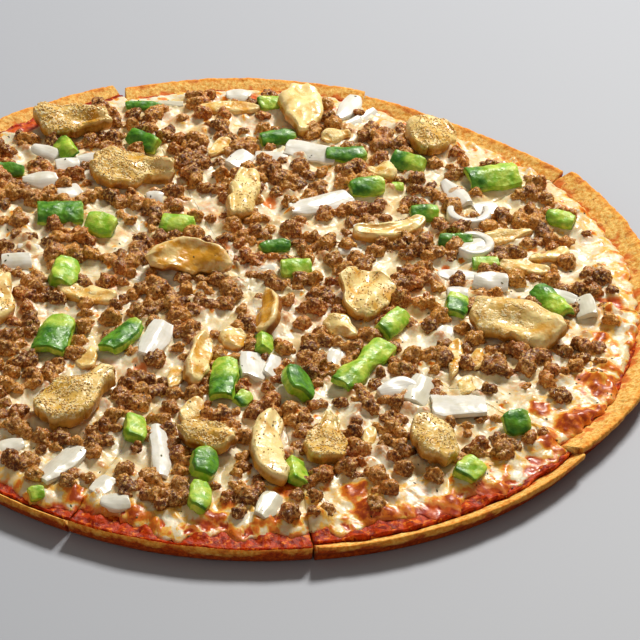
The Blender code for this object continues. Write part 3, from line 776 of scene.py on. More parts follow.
# %% Bare patches and sauce patches
BARE_PATCHES = (
    (-66, 153, 7), (-33, 125, 8), (57, 147, 8), (-68, 53, 8), (-60, 27, 8), (-66, 5, 7),
    (-22, 63, 9), (30, 50, 9), (54, 12, 8), (148, 45, 10), (-12, -26, 9), (19, -34, 7), (3, -14, 6),
    (72, -34, 9), (-52, -62, 9), (118, -76, 14), (104, -123, 8), (70, -132, 8), (48, -140, 9),
    (38, -90, 8), (145, -20, 9), (-56, -88, 6), (-118, -60, 9), (-135, 20, 9), (-128, -95, 8),
    (-98, 34, 6), (5, 62, 4), (28, 15, 7), (97, 118, 5), (118, 110, 6), (138, 22, 7), (-84, -27, 7),
    (84, -144, 7), (-20, -165, 7), (20, -163, 5), (-12, -45, 4), (-11, -10, 4), (137, -60, 8),
    (140, -78, 8),
)
SAUCE_PATCHES = (
    (-112, 124, 8), (-105, 131, 6), (-84, 145, 3), (3, 166, 4), (-8, 162, 4), (23, 162, 4),
    (86, 142, 5), (114, 124, 4), (126, 103, 3), (-107, 76, 3), (-97, 62, 3), (-41, 30, 3),
    (5, 70, 4), (-13, 32, 3), (139, 80, 3), (157, 7, 4), (-42, -64, 3), (-56, -160, 5),
    (-65, -158, 4), (-45, -165, 5), (78, -147, 6), (88, -147, 5), (95, -141, 4), (65, -160, 4),
    (103, -133, 5), (121, -108, 3), (118, -115, 3),
)

# %% Throw the beef
Nodule = namedtuple("Nodule", "x y z radius cut")
BEEF_SEED = 5
BEEF_TRIES = 42000
BEEF_RADIUS = (2.6, 5.0)
BEEF_TOUCH = 0.86
BEEF_LEVEL = CHEESE_TOP / MM - 0.4
BEEF_MARGIN = 4.5
NODULE_RISE = 0.62
UPPER_RADIUS = (2.4, 3.8)
UPPER_TRIES = 9000
UPPER_TOUCH = 1.05
RESTS_WITHIN = 0.95
RESTS_ON = 3
HEAP_TOP = 15.6
CELL = 9.0
BEEF_SHARE = 0.64
CLUMPING = 2.0
CROWDING = 0.5
# The clumps are densest round this spot, out to this distance in millimetres.
CROWD_X, CROWD_Y, CROWD_REACH = -10, 20, 120


def cell_of(x, y):
    return int(x // CELL), int(y // CELL)


def neighbours(grid, x, y):
    """The nodules in the nine cells round a spot."""
    column, row = cell_of(x, y)
    cells = [(column + i, row + j) for i in (-1, 0, 1) for j in (-1, 0, 1)]
    return [found for cell in cells for found in grid.get(cell, ())]


def touching(others, x, y, radius, touch):
    """The nodules nearer to a new one than a share of both radii."""
    return [o for o in others if math.hypot(x - o.x, y - o.y) < touch * (radius + o.radius)]


def throw_spots(draw, tries):
    """Seeded spots spread evenly over the round, and how far each is from the toppings."""
    out = LIP_RADIUS / MM * np.sqrt([draw.random() for _ in range(tries)])
    bearing = np.array([draw.uniform(-math.pi, math.pi) for _ in range(tries)])
    xs, ys = out * np.cos(bearing), out * np.sin(bearing)
    return xs, ys, gap_to(TOPPED, xs, ys)


def throw_beef():
    draw = random.Random(BEEF_SEED)
    grid, kept = {}, []
    xs, ys, clear = throw_spots(draw, BEEF_TRIES)
    bare = gap_to(BARE_PATCHES + SAUCE_PATCHES, xs, ys)
    for x, y, from_topping, from_bare in zip(xs.tolist(), ys.tolist(), clear, bare):
        radius = draw.uniform(*BEEF_RADIUS)
        thin = draw.random()
        cut, share, gap = slice_at(x * MM, y * MM)
        edge = bed_edge(cut, share) / MM - cut.band - BEEF_MARGIN
        if math.hypot(x, y) > edge - 0.6 * radius or gap / MM < NODULE_RISE * radius:
            continue
        if from_topping < 0.3 * radius or from_bare < 0.25 * radius:
            continue
        field = noise.noise(Vector((x / 17, y / 17, 2.0)))
        field += 0.5 * noise.noise(Vector((x / 7, y / 7, 5.0)))
        crowd = max(0.0, 1 - math.hypot(x - CROWD_X, y - CROWD_Y) / CROWD_REACH)
        if thin > BEEF_SHARE + CROWDING * crowd + CLUMPING * field:
            continue
        if touching(neighbours(grid, x, y), x, y, radius, BEEF_TOUCH):
            continue
        nodule = Nodule(x, y, BEEF_LEVEL + NODULE_RISE * radius, radius, cut)
        grid.setdefault(cell_of(x, y), []).append(nodule)
        kept.append(nodule)
    return kept, grid


def heap_beef(grid):
    """Nodules that rest on three or more others."""
    draw = random.Random(BEEF_SEED + 1)
    heaped = []
    xs, ys, clear = throw_spots(draw, UPPER_TRIES)
    for x, y, from_topping in zip(xs.tolist(), ys.tolist(), clear):
        radius = draw.uniform(*UPPER_RADIUS)
        cut, _, gap = slice_at(x * MM, y * MM)
        if gap / MM < NODULE_RISE * radius or from_topping < 0.8 * radius:
            continue
        under = touching(neighbours(grid, x, y), x, y, radius, RESTS_WITHIN)
        if len(under) < RESTS_ON or touching(heaped, x, y, radius, UPPER_TOUCH):
            continue
        height = sum(o.z for o in under) / len(under) + NODULE_RISE * radius
        heaped.append(Nodule(x, y, min(height, HEAP_TOP - radius), radius, cut))
    return heaped


LOWER_BEEF, BEEF_GRID = throw_beef()
UPPER_BEEF = heap_beef(BEEF_GRID)
BEEF = LOWER_BEEF + UPPER_BEEF
print(len(LOWER_BEEF), "beef nodules on the cheese and", len(UPPER_BEEF), "on top of them")

# %% [markdown]
# ## The cheese
#
# Melted cheese is a thick liquid that has set: it runs level in the open, climbs
# a little where it wets a lump, covers some lumps as smooth domes and dips where
# the sauce shows through. A fine grid is warped into each slice's outline, and
# a few functions say how high the cheese stands at each point, how toasted it is
# there, how much sauce stains it and how thin its film is over a lump. The last
# three travel with the mesh as attributes. waves() takes the size of its waves
# in millimetres and a layer, a number that picks another part of the noise.

# %% The cheese's height, toast and stain
TOASTED_SPOTS = (
    (148, -58, 5), (142, -51, 4), (123, -75, 5), (133, -84, 5), (141, -80, 9), (150, -72, 5),
    (155, -53, 5), (55, -148, 7), (48, -138, 5), (62, -152, 6), (22, -140, 5), (108, -130, 5),
    (88, -140, 5), (140, -100, 6), (125, -96, 4), (-36, -160, 4), (-5, -159, 4), (-60, -150, 4),
    (150, -20, 4), (72, -150, 5), (0, -150, 3),
)
CHEESE_SPILLS = (
    (118, -118, 24), (144, -84, 26), (84, -143, 9), (-22, -168, 9), (46, -160, 7), (-74, -152, 8),
    (5, -168, 5), (-130, -112, 12),
)
# How many waves there are along a slice's melted edge, and the noise's layer.
EDGE_WAVES = ((4.0, 0.0), (19.0, 4.0), (47.0, 8.0))
DOMES = 260
DOME_SEED = 8
DOME_REACH = 168
DOME_RADIUS = (2.5, 4.6)
DOME_RISE = 0.62
PUDDLE_RISE = 0.9
STRAND_RISE = 0.45
CLIMB_RISE = 1.7
STAIN_DIP = 1.1
THINNEST = 0.25
# The bearing of the oven's hot side, in degrees.
HOT_BEARING = -52


def waves(xs, ys, size, layer=0.0):
    """Smooth noise from -1 to 1 at spots in millimetres, with waves of one size."""
    return np.array([noise.noise(Vector((x / size, y / size, layer))) for x, y in zip(xs, ys)])


def smooth(values, low, high):
    share = np.clip((values - low) / (high - low), 0.0, 1.0)
    return share * share * (3 - 2 * share)


def cheese_edge(cut, share):
    """The melted edge runs unevenly along the sauce, and here and there right over it."""
    spot = slice_point(cut, share, bed_edge(cut, share), 0.0) / MM
    over = max(radius - math.hypot(spot.x - x, spot.y - y) for x, y, radius in CHEESE_SPILLS)
    over = clamp(over / 5 + 0.5)
    uneven, fine, drips = [noise.noise(Vector((share * count, cut.start, layer)))
                           for count, layer in EDGE_WAVES]
    spill = 1.9 * max(0.0, 3.5 - cut.band)
    sway = 1.8 * uneven + (1.6 + 0.25 * cut.band) * fine + (0.7 + 0.15 * cut.band) * drips
    return bed_edge(cut, share) + (spill - (1 - 0.9 * over) * cut.band - sway) * MM


def covered_lumps():
    """Lumps that lie under the cheese, as discs in millimetres."""
    draw = random.Random(DOME_SEED)
    lumps = []
    for _ in range(DOMES):
        out = DOME_REACH * math.sqrt(draw.random())
        bearing = draw.uniform(-math.pi, math.pi)
        radius = draw.uniform(*DOME_RADIUS)
        lumps.append((out * math.cos(bearing), out * math.sin(bearing), radius))
    return lumps


COVERED = np.array(covered_lumps())
BEEF_DISCS = [(o.x, o.y, o.radius) for o in LOWER_BEEF]


def cheese_lie(xs, ys):
    """How high the cheese lies over and between the lumps, and how thin it is on them."""
    height = CHEESE_TOP / MM + 0.5 * waves(xs, ys, 21) + 0.5 * waves(xs, ys, 8, 3.0)
    height += PUDDLE_RISE * smooth(-gap_to(BARE_PATCHES, xs, ys), -2.0, 7.0)
    height += STRAND_RISE * smooth(1 - np.abs(waves(xs, ys, 9, 33.0)), 0.8, 1.0)
    film = np.zeros(len(xs))
    for x, y, radius in COVERED:
        lump = np.exp(-((xs - x) ** 2 + (ys - y) ** 2) / (DOME_RISE * radius * radius))
        film = np.maximum(film, lump)
        height += DOME_RISE * radius * lump
    from_beef = gap_to(BEEF_DISCS, xs, ys) + 0.6 * waves(xs, ys, 4, 42.0)
    wetted = np.minimum(from_beef, gap_to(TOPPED, xs, ys))
    climb = CLIMB_RISE * np.exp(-np.clip(wetted, 0.0, None) / 1.5)
    height += climb - 0.35 * smooth(wetted, 1.5, 4.5)
    film = np.maximum(film, 0.85 * np.exp(-np.clip(from_beef, 0.0, None) / 0.8))
    return height, film


def sauce_stain(cut, xs, ys, to_edge):
    """Sauce shows in patches, through thin cheese, along the melted edge and in holes."""
    sauce = gap_to(SAUCE_PATCHES, xs, ys) + 1.6 * waves(xs, ys, 5, 9.0)
    deep = 0.5 + 0.4 * smooth(np.hypot(xs, ys), 100, 140)
    thin = waves(xs, ys, 15, 12.0) + 0.6 * waves(xs, ys, 5, 15.0) + 0.5 * np.exp(-to_edge / 9.0)
    edge = 2.0 - to_edge + 2.4 * waves(xs, ys, 3.5, 39.0)
    holes = smooth(waves(xs, ys, 5.5, 48.0) - 0.035 * to_edge, 0.14, 0.3)
    return np.maximum.reduce([
        deep * smooth(-sauce, -1.6, 1.8),
        0.8 * smooth(thin, 0.78, 1.1),
        0.42 * smooth(edge, 0.0, 3.0),
        holes * smooth(to_edge, 0.5, 2.0) * min(cut.band / 5, 1.0),
    ])


def cheese_toast(xs, ys, to_edge, stain):
    """How toasted the cheese is, most at the rim's hot side, and how far its blisters rise."""
    bearing = np.degrees(np.arctan2(ys, xs))
    hot_side = 0.35 + 0.65 * smooth(np.cos(np.radians(bearing - HOT_BEARING)), 0.1, 0.8)
    blister = waves(xs, ys, 6.5, 21.0) + 0.5 * waves(xs, ys, 2.6, 24.0)
    toast = hot_side * np.exp(-to_edge / 16.0) * smooth(blister, -0.25, 0.4)
    spots = gap_to(TOASTED_SPOTS, xs, ys) + 2.6 * waves(xs, ys, 3.6, 27.0)
    freckles = smooth(waves(xs, ys, 4.2, 45.0) + 0.3 * np.exp(-to_edge / 9.0), 0.46, 0.66)
    toast = np.maximum(toast, np.maximum(smooth(-spots, -2.6, 2.2), 0.8 * freckles))
    toast = np.clip(toast * (1 - 0.7 * stain), 0.0, 1.0)
    return toast, toast * smooth(blister, 0.0, 0.6) + 1.1 * smooth(-spots, -0.5, 3.0)


def cheese_field(cut, xs, ys, to_edge, to_cut):
    """Height, toast, stain and film at spots, from their distance to the edge and the cuts."""
    height, film = cheese_lie(xs, ys)
    stain = sauce_stain(cut, xs, ys, to_edge)
    height -= STAIN_DIP * stain
    height += 0.35 * stain * waves(xs, ys, 2.2, 18.0)
    toast, blisters = cheese_toast(xs, ys, to_edge, stain)
    height += blisters
    bottom = CHEESE_BOTTOM / MM
    from_edge = np.clip(to_edge / (2.6 + 0.8 * cut.band), 0.02, 1.0)
    height = bottom + (height - bottom) * np.sqrt(1 - (1 - from_edge) ** 2)
    from_cut = np.clip(to_cut / 1.1, 0.0, 1.0)
    height -= 0.9 * (1 - np.sqrt(1 - (1 - from_cut) ** 2)) * smooth(np.hypot(xs, ys), 125, 160)
    return np.maximum(height, bottom + THINNEST), toast, stain, film


# %% Shape the cheese of one slice
CHEESE_RINGS = 165
CHEESE_COLUMNS = 105
CHEESE_GAP = 0.06 * MM
WELD = 0.03 * MM


def flat_spots(bm):
    """The x and the y of every point, in millimetres."""
    xs = np.array([vert.co.x for vert in bm.verts]) / MM
    ys = np.array([vert.co.y for vert in bm.verts]) / MM
    return xs, ys


def cheese_mesh(cut):
    bm = bmesh.new()
    bmesh.ops.create_grid(bm, x_segments=CHEESE_RINGS, y_segments=CHEESE_COLUMNS, size=0.5)
    _, end = next_cut(cut)
    turn = math.radians(end - cut.start)
    to_edge, to_cut = [], []
    for vert in bm.verts:
        share = vert.co.y + 0.5
        edge = cheese_edge(cut, share)
        radius = (vert.co.x + 0.5) * edge
        vert.co = slice_point(cut, share, radius, 0.0, closed=CHEESE_GAP)
        to_edge.append((edge - radius) / MM)
        to_cut.append(radius / MM * (min(share, 1 - share) * turn))
    xs, ys = flat_spots(bm)
    height, *looks = cheese_field(cut, xs, ys, np.array(to_edge), np.array(to_cut))
    layers = [bm.verts.layers.float.new(name) for name in ("toast", "stain", "film")]
    for vert, level, *values in zip(bm.verts, height.tolist(), *(look.tolist() for look in looks)):
        vert.co.z = level * MM
        for layer, value in zip(layers, values):
            vert[layer] = value
    bmesh.ops.remove_doubles(bm, verts=bm.verts, dist=WELD)
    close_below(bm, CHEESE_BOTTOM)
    return bm


def close_below(bm, level):
    """Drop an open sheet's border to a level and close it underneath."""
    border = [edge for edge in bm.edges if edge.is_boundary]
    grown = bmesh.ops.extrude_edge_only(bm, edges=border)["geom"]
    for vert in [item for item in grown if isinstance(item, bmesh.types.BMVert)]:
        vert.co.z = level
    rim = [edge for edge in bm.edges if edge.is_boundary]
    bmesh.ops.edgeloop_fill(bm, edges=rim)


# %% [markdown]
# ### Melted cheese
#
# Cheese lets light in, so it takes some subsurface scattering, and its skin is
# smooth and a little oily. The base colour drifts between milk white and a
# warmer, more see-through cream. Toast goes from yellow through orange to brown,
# and the stain turns it into sauce.

# %% Cheese finish
def cheese_finish():
    cheese = Finish("melted cheese", Subsurface_Weight=0.35, Subsurface_Scale=0.004,
                    Subsurface_Radius=(1.0, 0.6, 0.3), Specular_IOR_Level=0.4)
    small = cheese.noise(2.2, 4)
    colour = cheese.between(cheese.noise(13, 4, 0.6), 0.36, 0.64, (226, 202, 150), (234, 225, 200))
    colour = cheese.tint(colour, (228, 188, 112), small, 0.55, 0.75, 0.45)
    colour = cheese.tint(colour, (226, 168, 72), cheese.noise(7, 3), 0.54, 0.7, 0.4)
    seeping = cheese.maths("MULTIPLY", cheese.spread(cheese.noise(22, 2), 0.52, 0.7, 0.0, 0.4),
                           cheese.spread(small, 0.4, 0.6))
    colour = cheese.mix(seeping, colour, srgb(222, 122, 44))
    film = cheese.wander(cheese.attribute("film"), small, -0.3, 0.2)
    colour = cheese.tint(colour, (192, 118, 46), film, 0.45, 0.95, 0.8)
    toast = cheese.wander(cheese.attribute("toast"), small, -0.16, 0.16)
    colour = cheese.tint(colour, (240, 186, 80), toast, 0.1, 0.4)
    colour = cheese.tint(colour, (222, 120, 20), toast, 0.4, 0.7)
    colour = cheese.tint(colour, (170, 66, 6), toast, 0.76, 1.05)
    stain = cheese.wander(cheese.attribute("stain"), small, -0.12, 0.12)
    colour = cheese.tint(colour, (228, 138, 66), stain, 0.1, 0.45)
    red = cheese.between(cheese.noise(3.0, 3), 0.35, 0.65, (170, 44, 4), (218, 96, 24))
    cheese.set("Base Color", cheese.mix(cheese.spread(stain, 0.42, 0.75), colour, red))
    cheese.set("Roughness", cheese.spread(cheese.noise(4, 3), 0.3, 0.7, 0.26, 0.46))
    ripples = cheese.bump(cheese.noise(5, 2), 0.55)
    cheese.set("Normal", cheese.bump(cheese.noise(1.6, 2), 0.08, ripples))
    return cheese


dress_slices("melted_cheese", "cheese", cheese_mesh, cheese_finish())

# %% [markdown]
# ## The sauce
#
# Chopped tomato cooks down to a glossy red paste with soft lumps in it. It only
# shows in the band between the cheese and the rim, so the grid is crowded
# towards the edge, where the lumps stand up. Under the cheese it stays flat.

# %% Shape the sauce of one slice
SAUCE_RINGS = 50
SAUCE_COLUMNS = 120
TOMATO_LUMPS = (
    (26, -160, 3.4), (37, -158, 3.6), (43, -154, 3.0), (5, -163, 3.4), (50, -163, 3.6),
    (103, -133, 4.2), (-10, -168, 3.0), (15, -166, 3.0), (60, -158, 3.0), (-30, -166, 2.8),
    (72, -153, 3.2), (84, -149, 3.0), (-50, -162, 3.0), (93, -141, 3.0), (124, -112, 3.0),
)
RIM_CROWDING = 2.2
TOMATO_RISE = 1.4
SLOPE_RISE = 1.25


def sauce_mesh(cut):
    bm = bmesh.new()
    bmesh.ops.create_grid(bm, x_segments=SAUCE_RINGS, y_segments=SAUCE_COLUMNS, size=0.5)
    beyond, along = [], []
    for vert in bm.verts:
        share = vert.co.y + 0.5
        climb = 0.14 + 0.22 * noise.noise(Vector((share * 14.0, cut.start, 30.0)))
        climb *= min(cut.band / 4, 1.0)
        reach = bed_edge(cut, share) + climb * cut.rim * MM
        inwards = 0.5 - vert.co.x
        radius = reach * (1 - inwards ** RIM_CROWDING)
        beyond.append((radius - cheese_edge(cut, share)) / MM)
        along.append((radius - bed_edge(cut, share)) / (cut.rim * MM))
        vert.co = slice_point(cut, share, radius, 0.0)
    xs, ys = flat_spots(bm)
    shows = smooth(np.array(beyond), -4.0, -0.5)
    lumps = TOMATO_RISE * smooth(-gap_to(TOMATO_LUMPS, xs, ys), -1.6, 1.8)
    relief = 0.55 * waves(xs, ys, 3.4) + 0.35 * waves(xs, ys, 1.7, 5.0) + 0.5 + lumps
    slope = np.clip(np.array(along), 0.0, 1.0) * (cut.lip - BED_HEIGHT / MM) * SLOPE_RISE
    for vert, level in zip(bm.verts, (SAUCE_TOP / MM + shows * (relief + slope)).tolist()):
        vert.co.z = level * MM
    bmesh.ops.remove_doubles(bm, verts=bm.verts, dist=WELD)
    close_below(bm, SAUCE_BOTTOM)
    return bm


# %% Sauce finish
def sauce_finish():
    sauce = Finish("tomato sauce", Roughness=0.42, Subsurface_Weight=0.15, Subsurface_Scale=0.003,
                   Subsurface_Radius=(1.0, 0.25, 0.05), Specular_IOR_Level=0.12)
    pulp = sauce.noise(3.2, 5, 0.6)
    colour = sauce.between(pulp, 0.36, 0.62, (122, 24, 0), (194, 62, 0))
    colour = sauce.tint(colour, (230, 122, 30), sauce.noise(2.4, 2), 0.54, 0.7)
    sauce.set("Base Color", colour)
    sauce.set("Normal", sauce.bump(sauce.noise(1.2, 4), 0.45))
    return sauce


dress_slices("spread_sauce", "sauce", sauce_mesh, sauce_finish())

# %% [markdown]
# ## The beef
#
# Each nodule starts as a lopsided ball. A voxel remesh melts the balls of one
# slice into a single skin, so that a clump has one surface, and Displace
# modifiers of three sizes then make it craggy. What lies below the cheese is cut
# away and closed again. Each point of the skin takes the tone of the nodule it
# belongs to, so neighbouring crumbs differ in colour, as fried mince does.

# %% Shape the beef of one slice
BEEF_VOXEL = 0.76 * MM
BEEF_FLOOR = CHEESE_TOP - 1.3 * MM
BALL_SQUASH = ((0.85, 1.15), (0.85, 1.15), (0.8, 1.05))


def random_turn(draw, axis):
    return Matrix.Rotation(draw.uniform(0, math.tau), 4, axis)


def beef_balls(nodules, draw):
    bm = bmesh.new()
    for nodule in nodules:
        made = bmesh.ops.create_icosphere(bm, subdivisions=2, radius=nodule.radius * MM)["verts"]
        squash = Vector([draw.uniform(*ends) for ends in BALL_SQUASH])
        turn = random_turn(draw, "Z") @ random_turn(draw, "X")
        seed = Vector((draw.uniform(0, 90), draw.uniform(0, 90), 0))
        for vert in made:
            lumpy = 1 + 0.45 * noise.noise(vert.co / MM * 0.3 + seed)
            vert.co = Vector(a * b for a, b in zip(vert.co, squash)) * lumpy
        place = Matrix.Translation(Vector((nodule.x, nodule.y, nodule.z)) * MM)
        bmesh.ops.transform(bm, matrix=place @ turn, verts=made)
    return bm


def beef_mesh(cut, draw):
    nodules = [nodule for nodule in BEEF if nodule.cut is cut]
    skin = evaluated_mesh(
        beef_balls(nodules, draw),
        ("REMESH", {"mode": "VOXEL", "voxel_size": BEEF_VOXEL}),
        ripple("beef lumps", "CLOUDS", 4.2, 2.4),
        ripple("beef granules", "VORONOI", 2.6, -1.4),
        ripple("beef grit", "CLOUDS", 1.0, 0.7),
    )
    bm = bmesh.new()
    bm.from_mesh(skin)
    bpy.data.meshes.remove(skin)
    bmesh.ops.bisect_plane(bm, geom=[*bm.verts, *bm.edges, *bm.faces], dist=0.02 * MM,
                           plane_co=(0, 0, BEEF_FLOOR), plane_no=(0, 0, 1), clear_inner=True)
    bmesh.ops.holes_fill(bm, edges=[edge for edge in bm.edges if edge.is_boundary], sides=0)
    tree = KDTree(len(nodules))
    tones = []
    for index, nodule in enumerate(nodules):
        tree.insert(Vector((nodule.x, nodule.y, nodule.z)) * MM, index)
        tones.append(draw.random())
    tree.balance()
    tone = bm.verts.layers.float.new("tone")
    for vert in bm.verts:
        vert[tone] = tones[tree.find(vert.co)[1]]
    return bm


# %% [markdown]
# ### Fried mince
#
# The colour runs from a dark roast brown to a warm tan, and each nodule's tone
# shifts it. Painted light lies over that: painted shade darkens the hollows of
# the grit almost to black, and a painted highlight turns the grit that stands
# proud pale tan. Fat makes small wet spots, so the roughness drops sharply here
# and there, which gives the sparkle.

# %% Beef finish
def beef_finish():
    beef = Finish("fried beef", Subsurface_Weight=0.10, Subsurface_Scale=0.0015,
                  Subsurface_Radius=(1.0, 0.4, 0.15), Specular_IOR_Level=0.4)
    grit = beef.noise(1.2, 4, 0.65)
    colour = beef.between(beef.noise(4.5, 3), 0.38, 0.62, (108, 52, 6), (170, 100, 30))
    colour = beef.tint(colour, (214, 144, 52), beef.attribute("tone"), 0.2, 1.0, 0.8)
    colour = beef.tint(colour, (196, 98, 24), beef.noise(22, 2), 0.52, 0.7, 0.5)
    # Painted highlight: pale tan on the grit that stands proud.
    colour = beef.tint(colour, (244, 200, 120), grit, 0.5, 0.64, 0.8)
    # Painted shade: near black brown in the hollows of the grit.
    colour = beef.tint(colour, (46, 18, 2), grit, 0.48, 0.32, 0.9)
    beef.set("Base Color", colour)
    beef.set("Roughness", beef.spread(beef.noise(1.1, 2), 0.42, 0.62, 0.16, 0.5))
    crags = beef.bump(grit, 0.6)
    beef.set("Normal", beef.bump(beef.cells(1.3), -0.3, crags))
    return beef


def crumble_beef():
    beef = beef_finish()
    draw = random.Random(BEEF_SEED + 2)
    count = 0
    for number, cut in enumerate(SLICES, start=1):
        piece = finish_piece(f"beef_{number:02d}", beef_mesh(cut, draw), beef)
        count += len(piece.data.polygons)
    print("Beef has", count, "faces")


crumble_beef()

# %% [markdown]
# ## Sliced toppings
#
# Mushroom, pepper and onion are all cut flat and then soften, curl and sag in
# the oven. So one function makes them all: a grid rounded at its corners,
# narrowed by its shape, curled across and bent along, then thickened by an
# extrusion whose edges are bevelled. Subdivision smooths it. Each point keeps
# how far it is down the side, where it lies across and along, how near the rim
# it is, its tone and its dust, so the finish can tell skin from flesh.

# %% A soft slab
# How rounded the corners are, how ragged the outline, how hollow and how wavy the
# face, and how wide the bevel is, each as a share.
Form = namedtuple("Form", "corners ragged hollow wavy bevel")
FORMS = {
    "mushroom": Form(0.45, 0.26, 0.06, 0.18, 0.24),
    "pepper": Form(0.04, 0.10, -0.04, 0.08, 0.10),
    "onion": Form(0.06, 0.14, 0.0, 0.06, 0.12),
}
RIM_ANGLE = math.radians(50)
RAGGED_SIZE = 9
POINT_NUMBERS = ("side", "across", "along", "rim", "tone", "dust")


def width_share(shape, share):
    """A shape's width at a share of its length, read smoothly from its five stations."""
    place = clamp(share) * (len(shape) - 1)
    index = min(int(place), len(shape) - 2)
    part = place - index
    part = part * part * (3 - 2 * part)
    return shape[index] + (shape[index + 1] - shape[index]) * part


def soft_slab(kind, row, columns, rows, seed):
    """A curled, thickened slab along X, with the numbers that its points keep."""
    form = FORMS[kind]
    length, width, thick = row.length * MM, row.width * MM, row.thick * MM
    bm = bmesh.new()
    layers = {name: bm.verts.layers.float.new(name) for name in POINT_NUMBERS}
    bmesh.ops.create_grid(bm, x_segments=columns, y_segments=rows, size=1.0)
    for vert in bm.verts:
        x, y = vert.co.x, vert.co.y
        p = x * math.sqrt(1 - form.corners * y * y / 2)
        q = y * math.sqrt(1 - form.corners * x * x / 2)
        ragged = form.ragged * max(abs(x), abs(y)) ** 3
        spot = Vector((x * row.length / RAGGED_SIZE, y * row.width / RAGGED_SIZE, seed))
        p += ragged * noise.noise(spot) * row.width / row.length
        q += ragged * noise.noise(spot + Vector((0, 0, 5)))
        wide = width * width_share(row.shape, (p + 1) / 2)
        side, rise = arc(q / 2, math.radians(row.curl))
        forward, aside = arc(p / 2, math.radians(row.bend))
        heading = p / 2 * math.radians(row.bend)
        side *= wide
        wavy = form.wavy * width * noise.noise(Vector((x * 1.3, y * 1.3, seed + 9)))
        vert.co = (forward * length - math.sin(heading) * side,
                   aside * length + math.cos(heading) * side,
                   rise * wide + wavy)
        vert[layers["across"]] = q * row.width / 2
        vert[layers["along"]] = p
        vert[layers["rim"]] = max(abs(x), y)
        vert[layers["tone"]] = row.tone
        vert[layers["dust"]] = row.dust * clamp(0.9 - p + noise.noise(spot * 2))
    bm.normal_update()
    grown = bmesh.ops.extrude_face_region(bm, geom=list(bm.faces))["geom"]
    top = [item for item in grown if isinstance(item, bmesh.types.BMVert)]
    for vert in top:
        inner = 1.0 - clamp((vert[layers["rim"]] - 0.35) / 0.5) ** 2
        vert.co.z += thick * (1.0 - form.hollow * inner)
    for vert in bm.verts:
        vert[layers["side"]] = 1.0
    for vert in top:
        vert[layers["side"]] = 0.0
    bmesh.ops.recalc_face_normals(bm, faces=bm.faces)
    bm.normal_update()
    rim = [edge for edge in bm.edges if edge.calc_face_angle(0.0) > RIM_ANGLE]
    bmesh.ops.bevel(bm, geom=rim, offset=form.bevel * thick, offset_type="OFFSET", affect="EDGES",
                    segments=2, profile=0.5, material=-1)
    bmesh.ops.recalc_face_normals(bm, faces=bm.faces)
    return bm


def place_slab(bm, row, bottom):
    """Turn and lean a slab, then set its lowest point at a height."""
    turned = Matrix.Rotation(math.radians(row.turn), 4, "Z")
    leaned = Matrix.Rotation(math.radians(row.lean), 4, "X")
    spot = Matrix.Translation((row.x * MM, row.y * MM, 0.0))
    bmesh.ops.transform(bm, matrix=spot @ turned @ leaned, verts=bm.verts)
    lowest = min(vert.co.z for vert in bm.verts)
    bmesh.ops.translate(bm, vec=(0, 0, bottom - lowest), verts=bm.verts)
    return bm


def soften_piece(piece, levels, ripples):
    """Subdivision that smooths a slab, and then the ripples of its kind."""
    smoothing = ("SUBSURF", {"levels": levels, "render_levels": levels})
    add_modifiers(piece, (smoothing, *ripples))


# %% [markdown]
# ### Mushroom
#
# A baked mushroom slice is cream on its cut face and golden to brown along the
# cap's skin, and that skin colour on the sides and underside is made darker as
# painted shade. The darker seasoning sits in the hollows of the face. Its flesh
# is slightly see-through, so it gets a little scattering.

# %% Mushroom finish
def mushroom_finish():
    cap = Finish("baked mushroom", Subsurface_Weight=0.22, Subsurface_Scale=0.003,
                 Subsurface_Radius=(1.0, 0.65, 0.25), Specular_IOR_Level=0.5)
    tone = cap.maths("ADD", cap.attribute("tone"),
                     cap.spread(cap.noise(7, 4), 0.32, 0.68, -0.5, 0.5))
    face = cap.between(tone, 0.0, 1.0, (246, 222, 152), (218, 154, 34))
    edge = cap.wander(cap.attribute("rim"), cap.noise(3, 2), -0.12, 0.12)
    face = cap.tint(face, (246, 222, 160), edge, 0.66, 0.9, 0.8)
    fine = cap.noise(1.3, 4, 0.65)
    clumps = cap.spread(cap.noise(5, 3), 0.36, 0.64, -0.7, 0.2)
    dust = cap.spread(cap.maths("ADD", cap.attribute("dust"), clumps), 0.2, 0.7)
    dust = cap.maths("MULTIPLY", dust, cap.spread(cap.attribute("side"), 0.5, 0.1))
    face = cap.tint(face, (212, 164, 46), cap.attribute("dust"), 0.1, 0.9, 0.7)
    pale = cap.maths("MULTIPLY", cap.spread(fine, 0.5, 0.6), dust)
    face = cap.mix(pale, face, srgb(246, 232, 184))
    dark = cap.maths("MULTIPLY", cap.spread(fine, 0.42, 0.34, 0.0, 0.35), dust)
    face = cap.mix(dark, face, srgb(140, 98, 24))
    # The sides and underside: the cap's golden skin, made darker still as painted shade.
    skin = cap.between(tone, 0.0, 1.0, (216, 158, 60), (144, 80, 10))
    cap.set("Base Color", cap.mix(cap.spread(cap.attribute("side"), 0.12, 0.5), face, skin))
    wet = cap.spread(cap.noise(4, 3), 0.3, 0.7, 0.2, 0.45)
    cap.set("Roughness", cap.maths("ADD", wet, cap.maths("MULTIPLY", dust, 0.3)))
    grain = cap.bump(cap.maths("MULTIPLY", fine, dust), 0.7)
    cap.set("Normal", cap.bump(cap.noise(4, 2), 0.6, grain))
    return cap


# %% [markdown]
# ### Green pepper
#
# The skin is dark, thin and very glossy, and the flesh under it is bright lime
# and watery. The tone says which of the two is on top. Where the skin is up, the
# sides show lime; where the flesh is up, a dark line of skin runs round below.

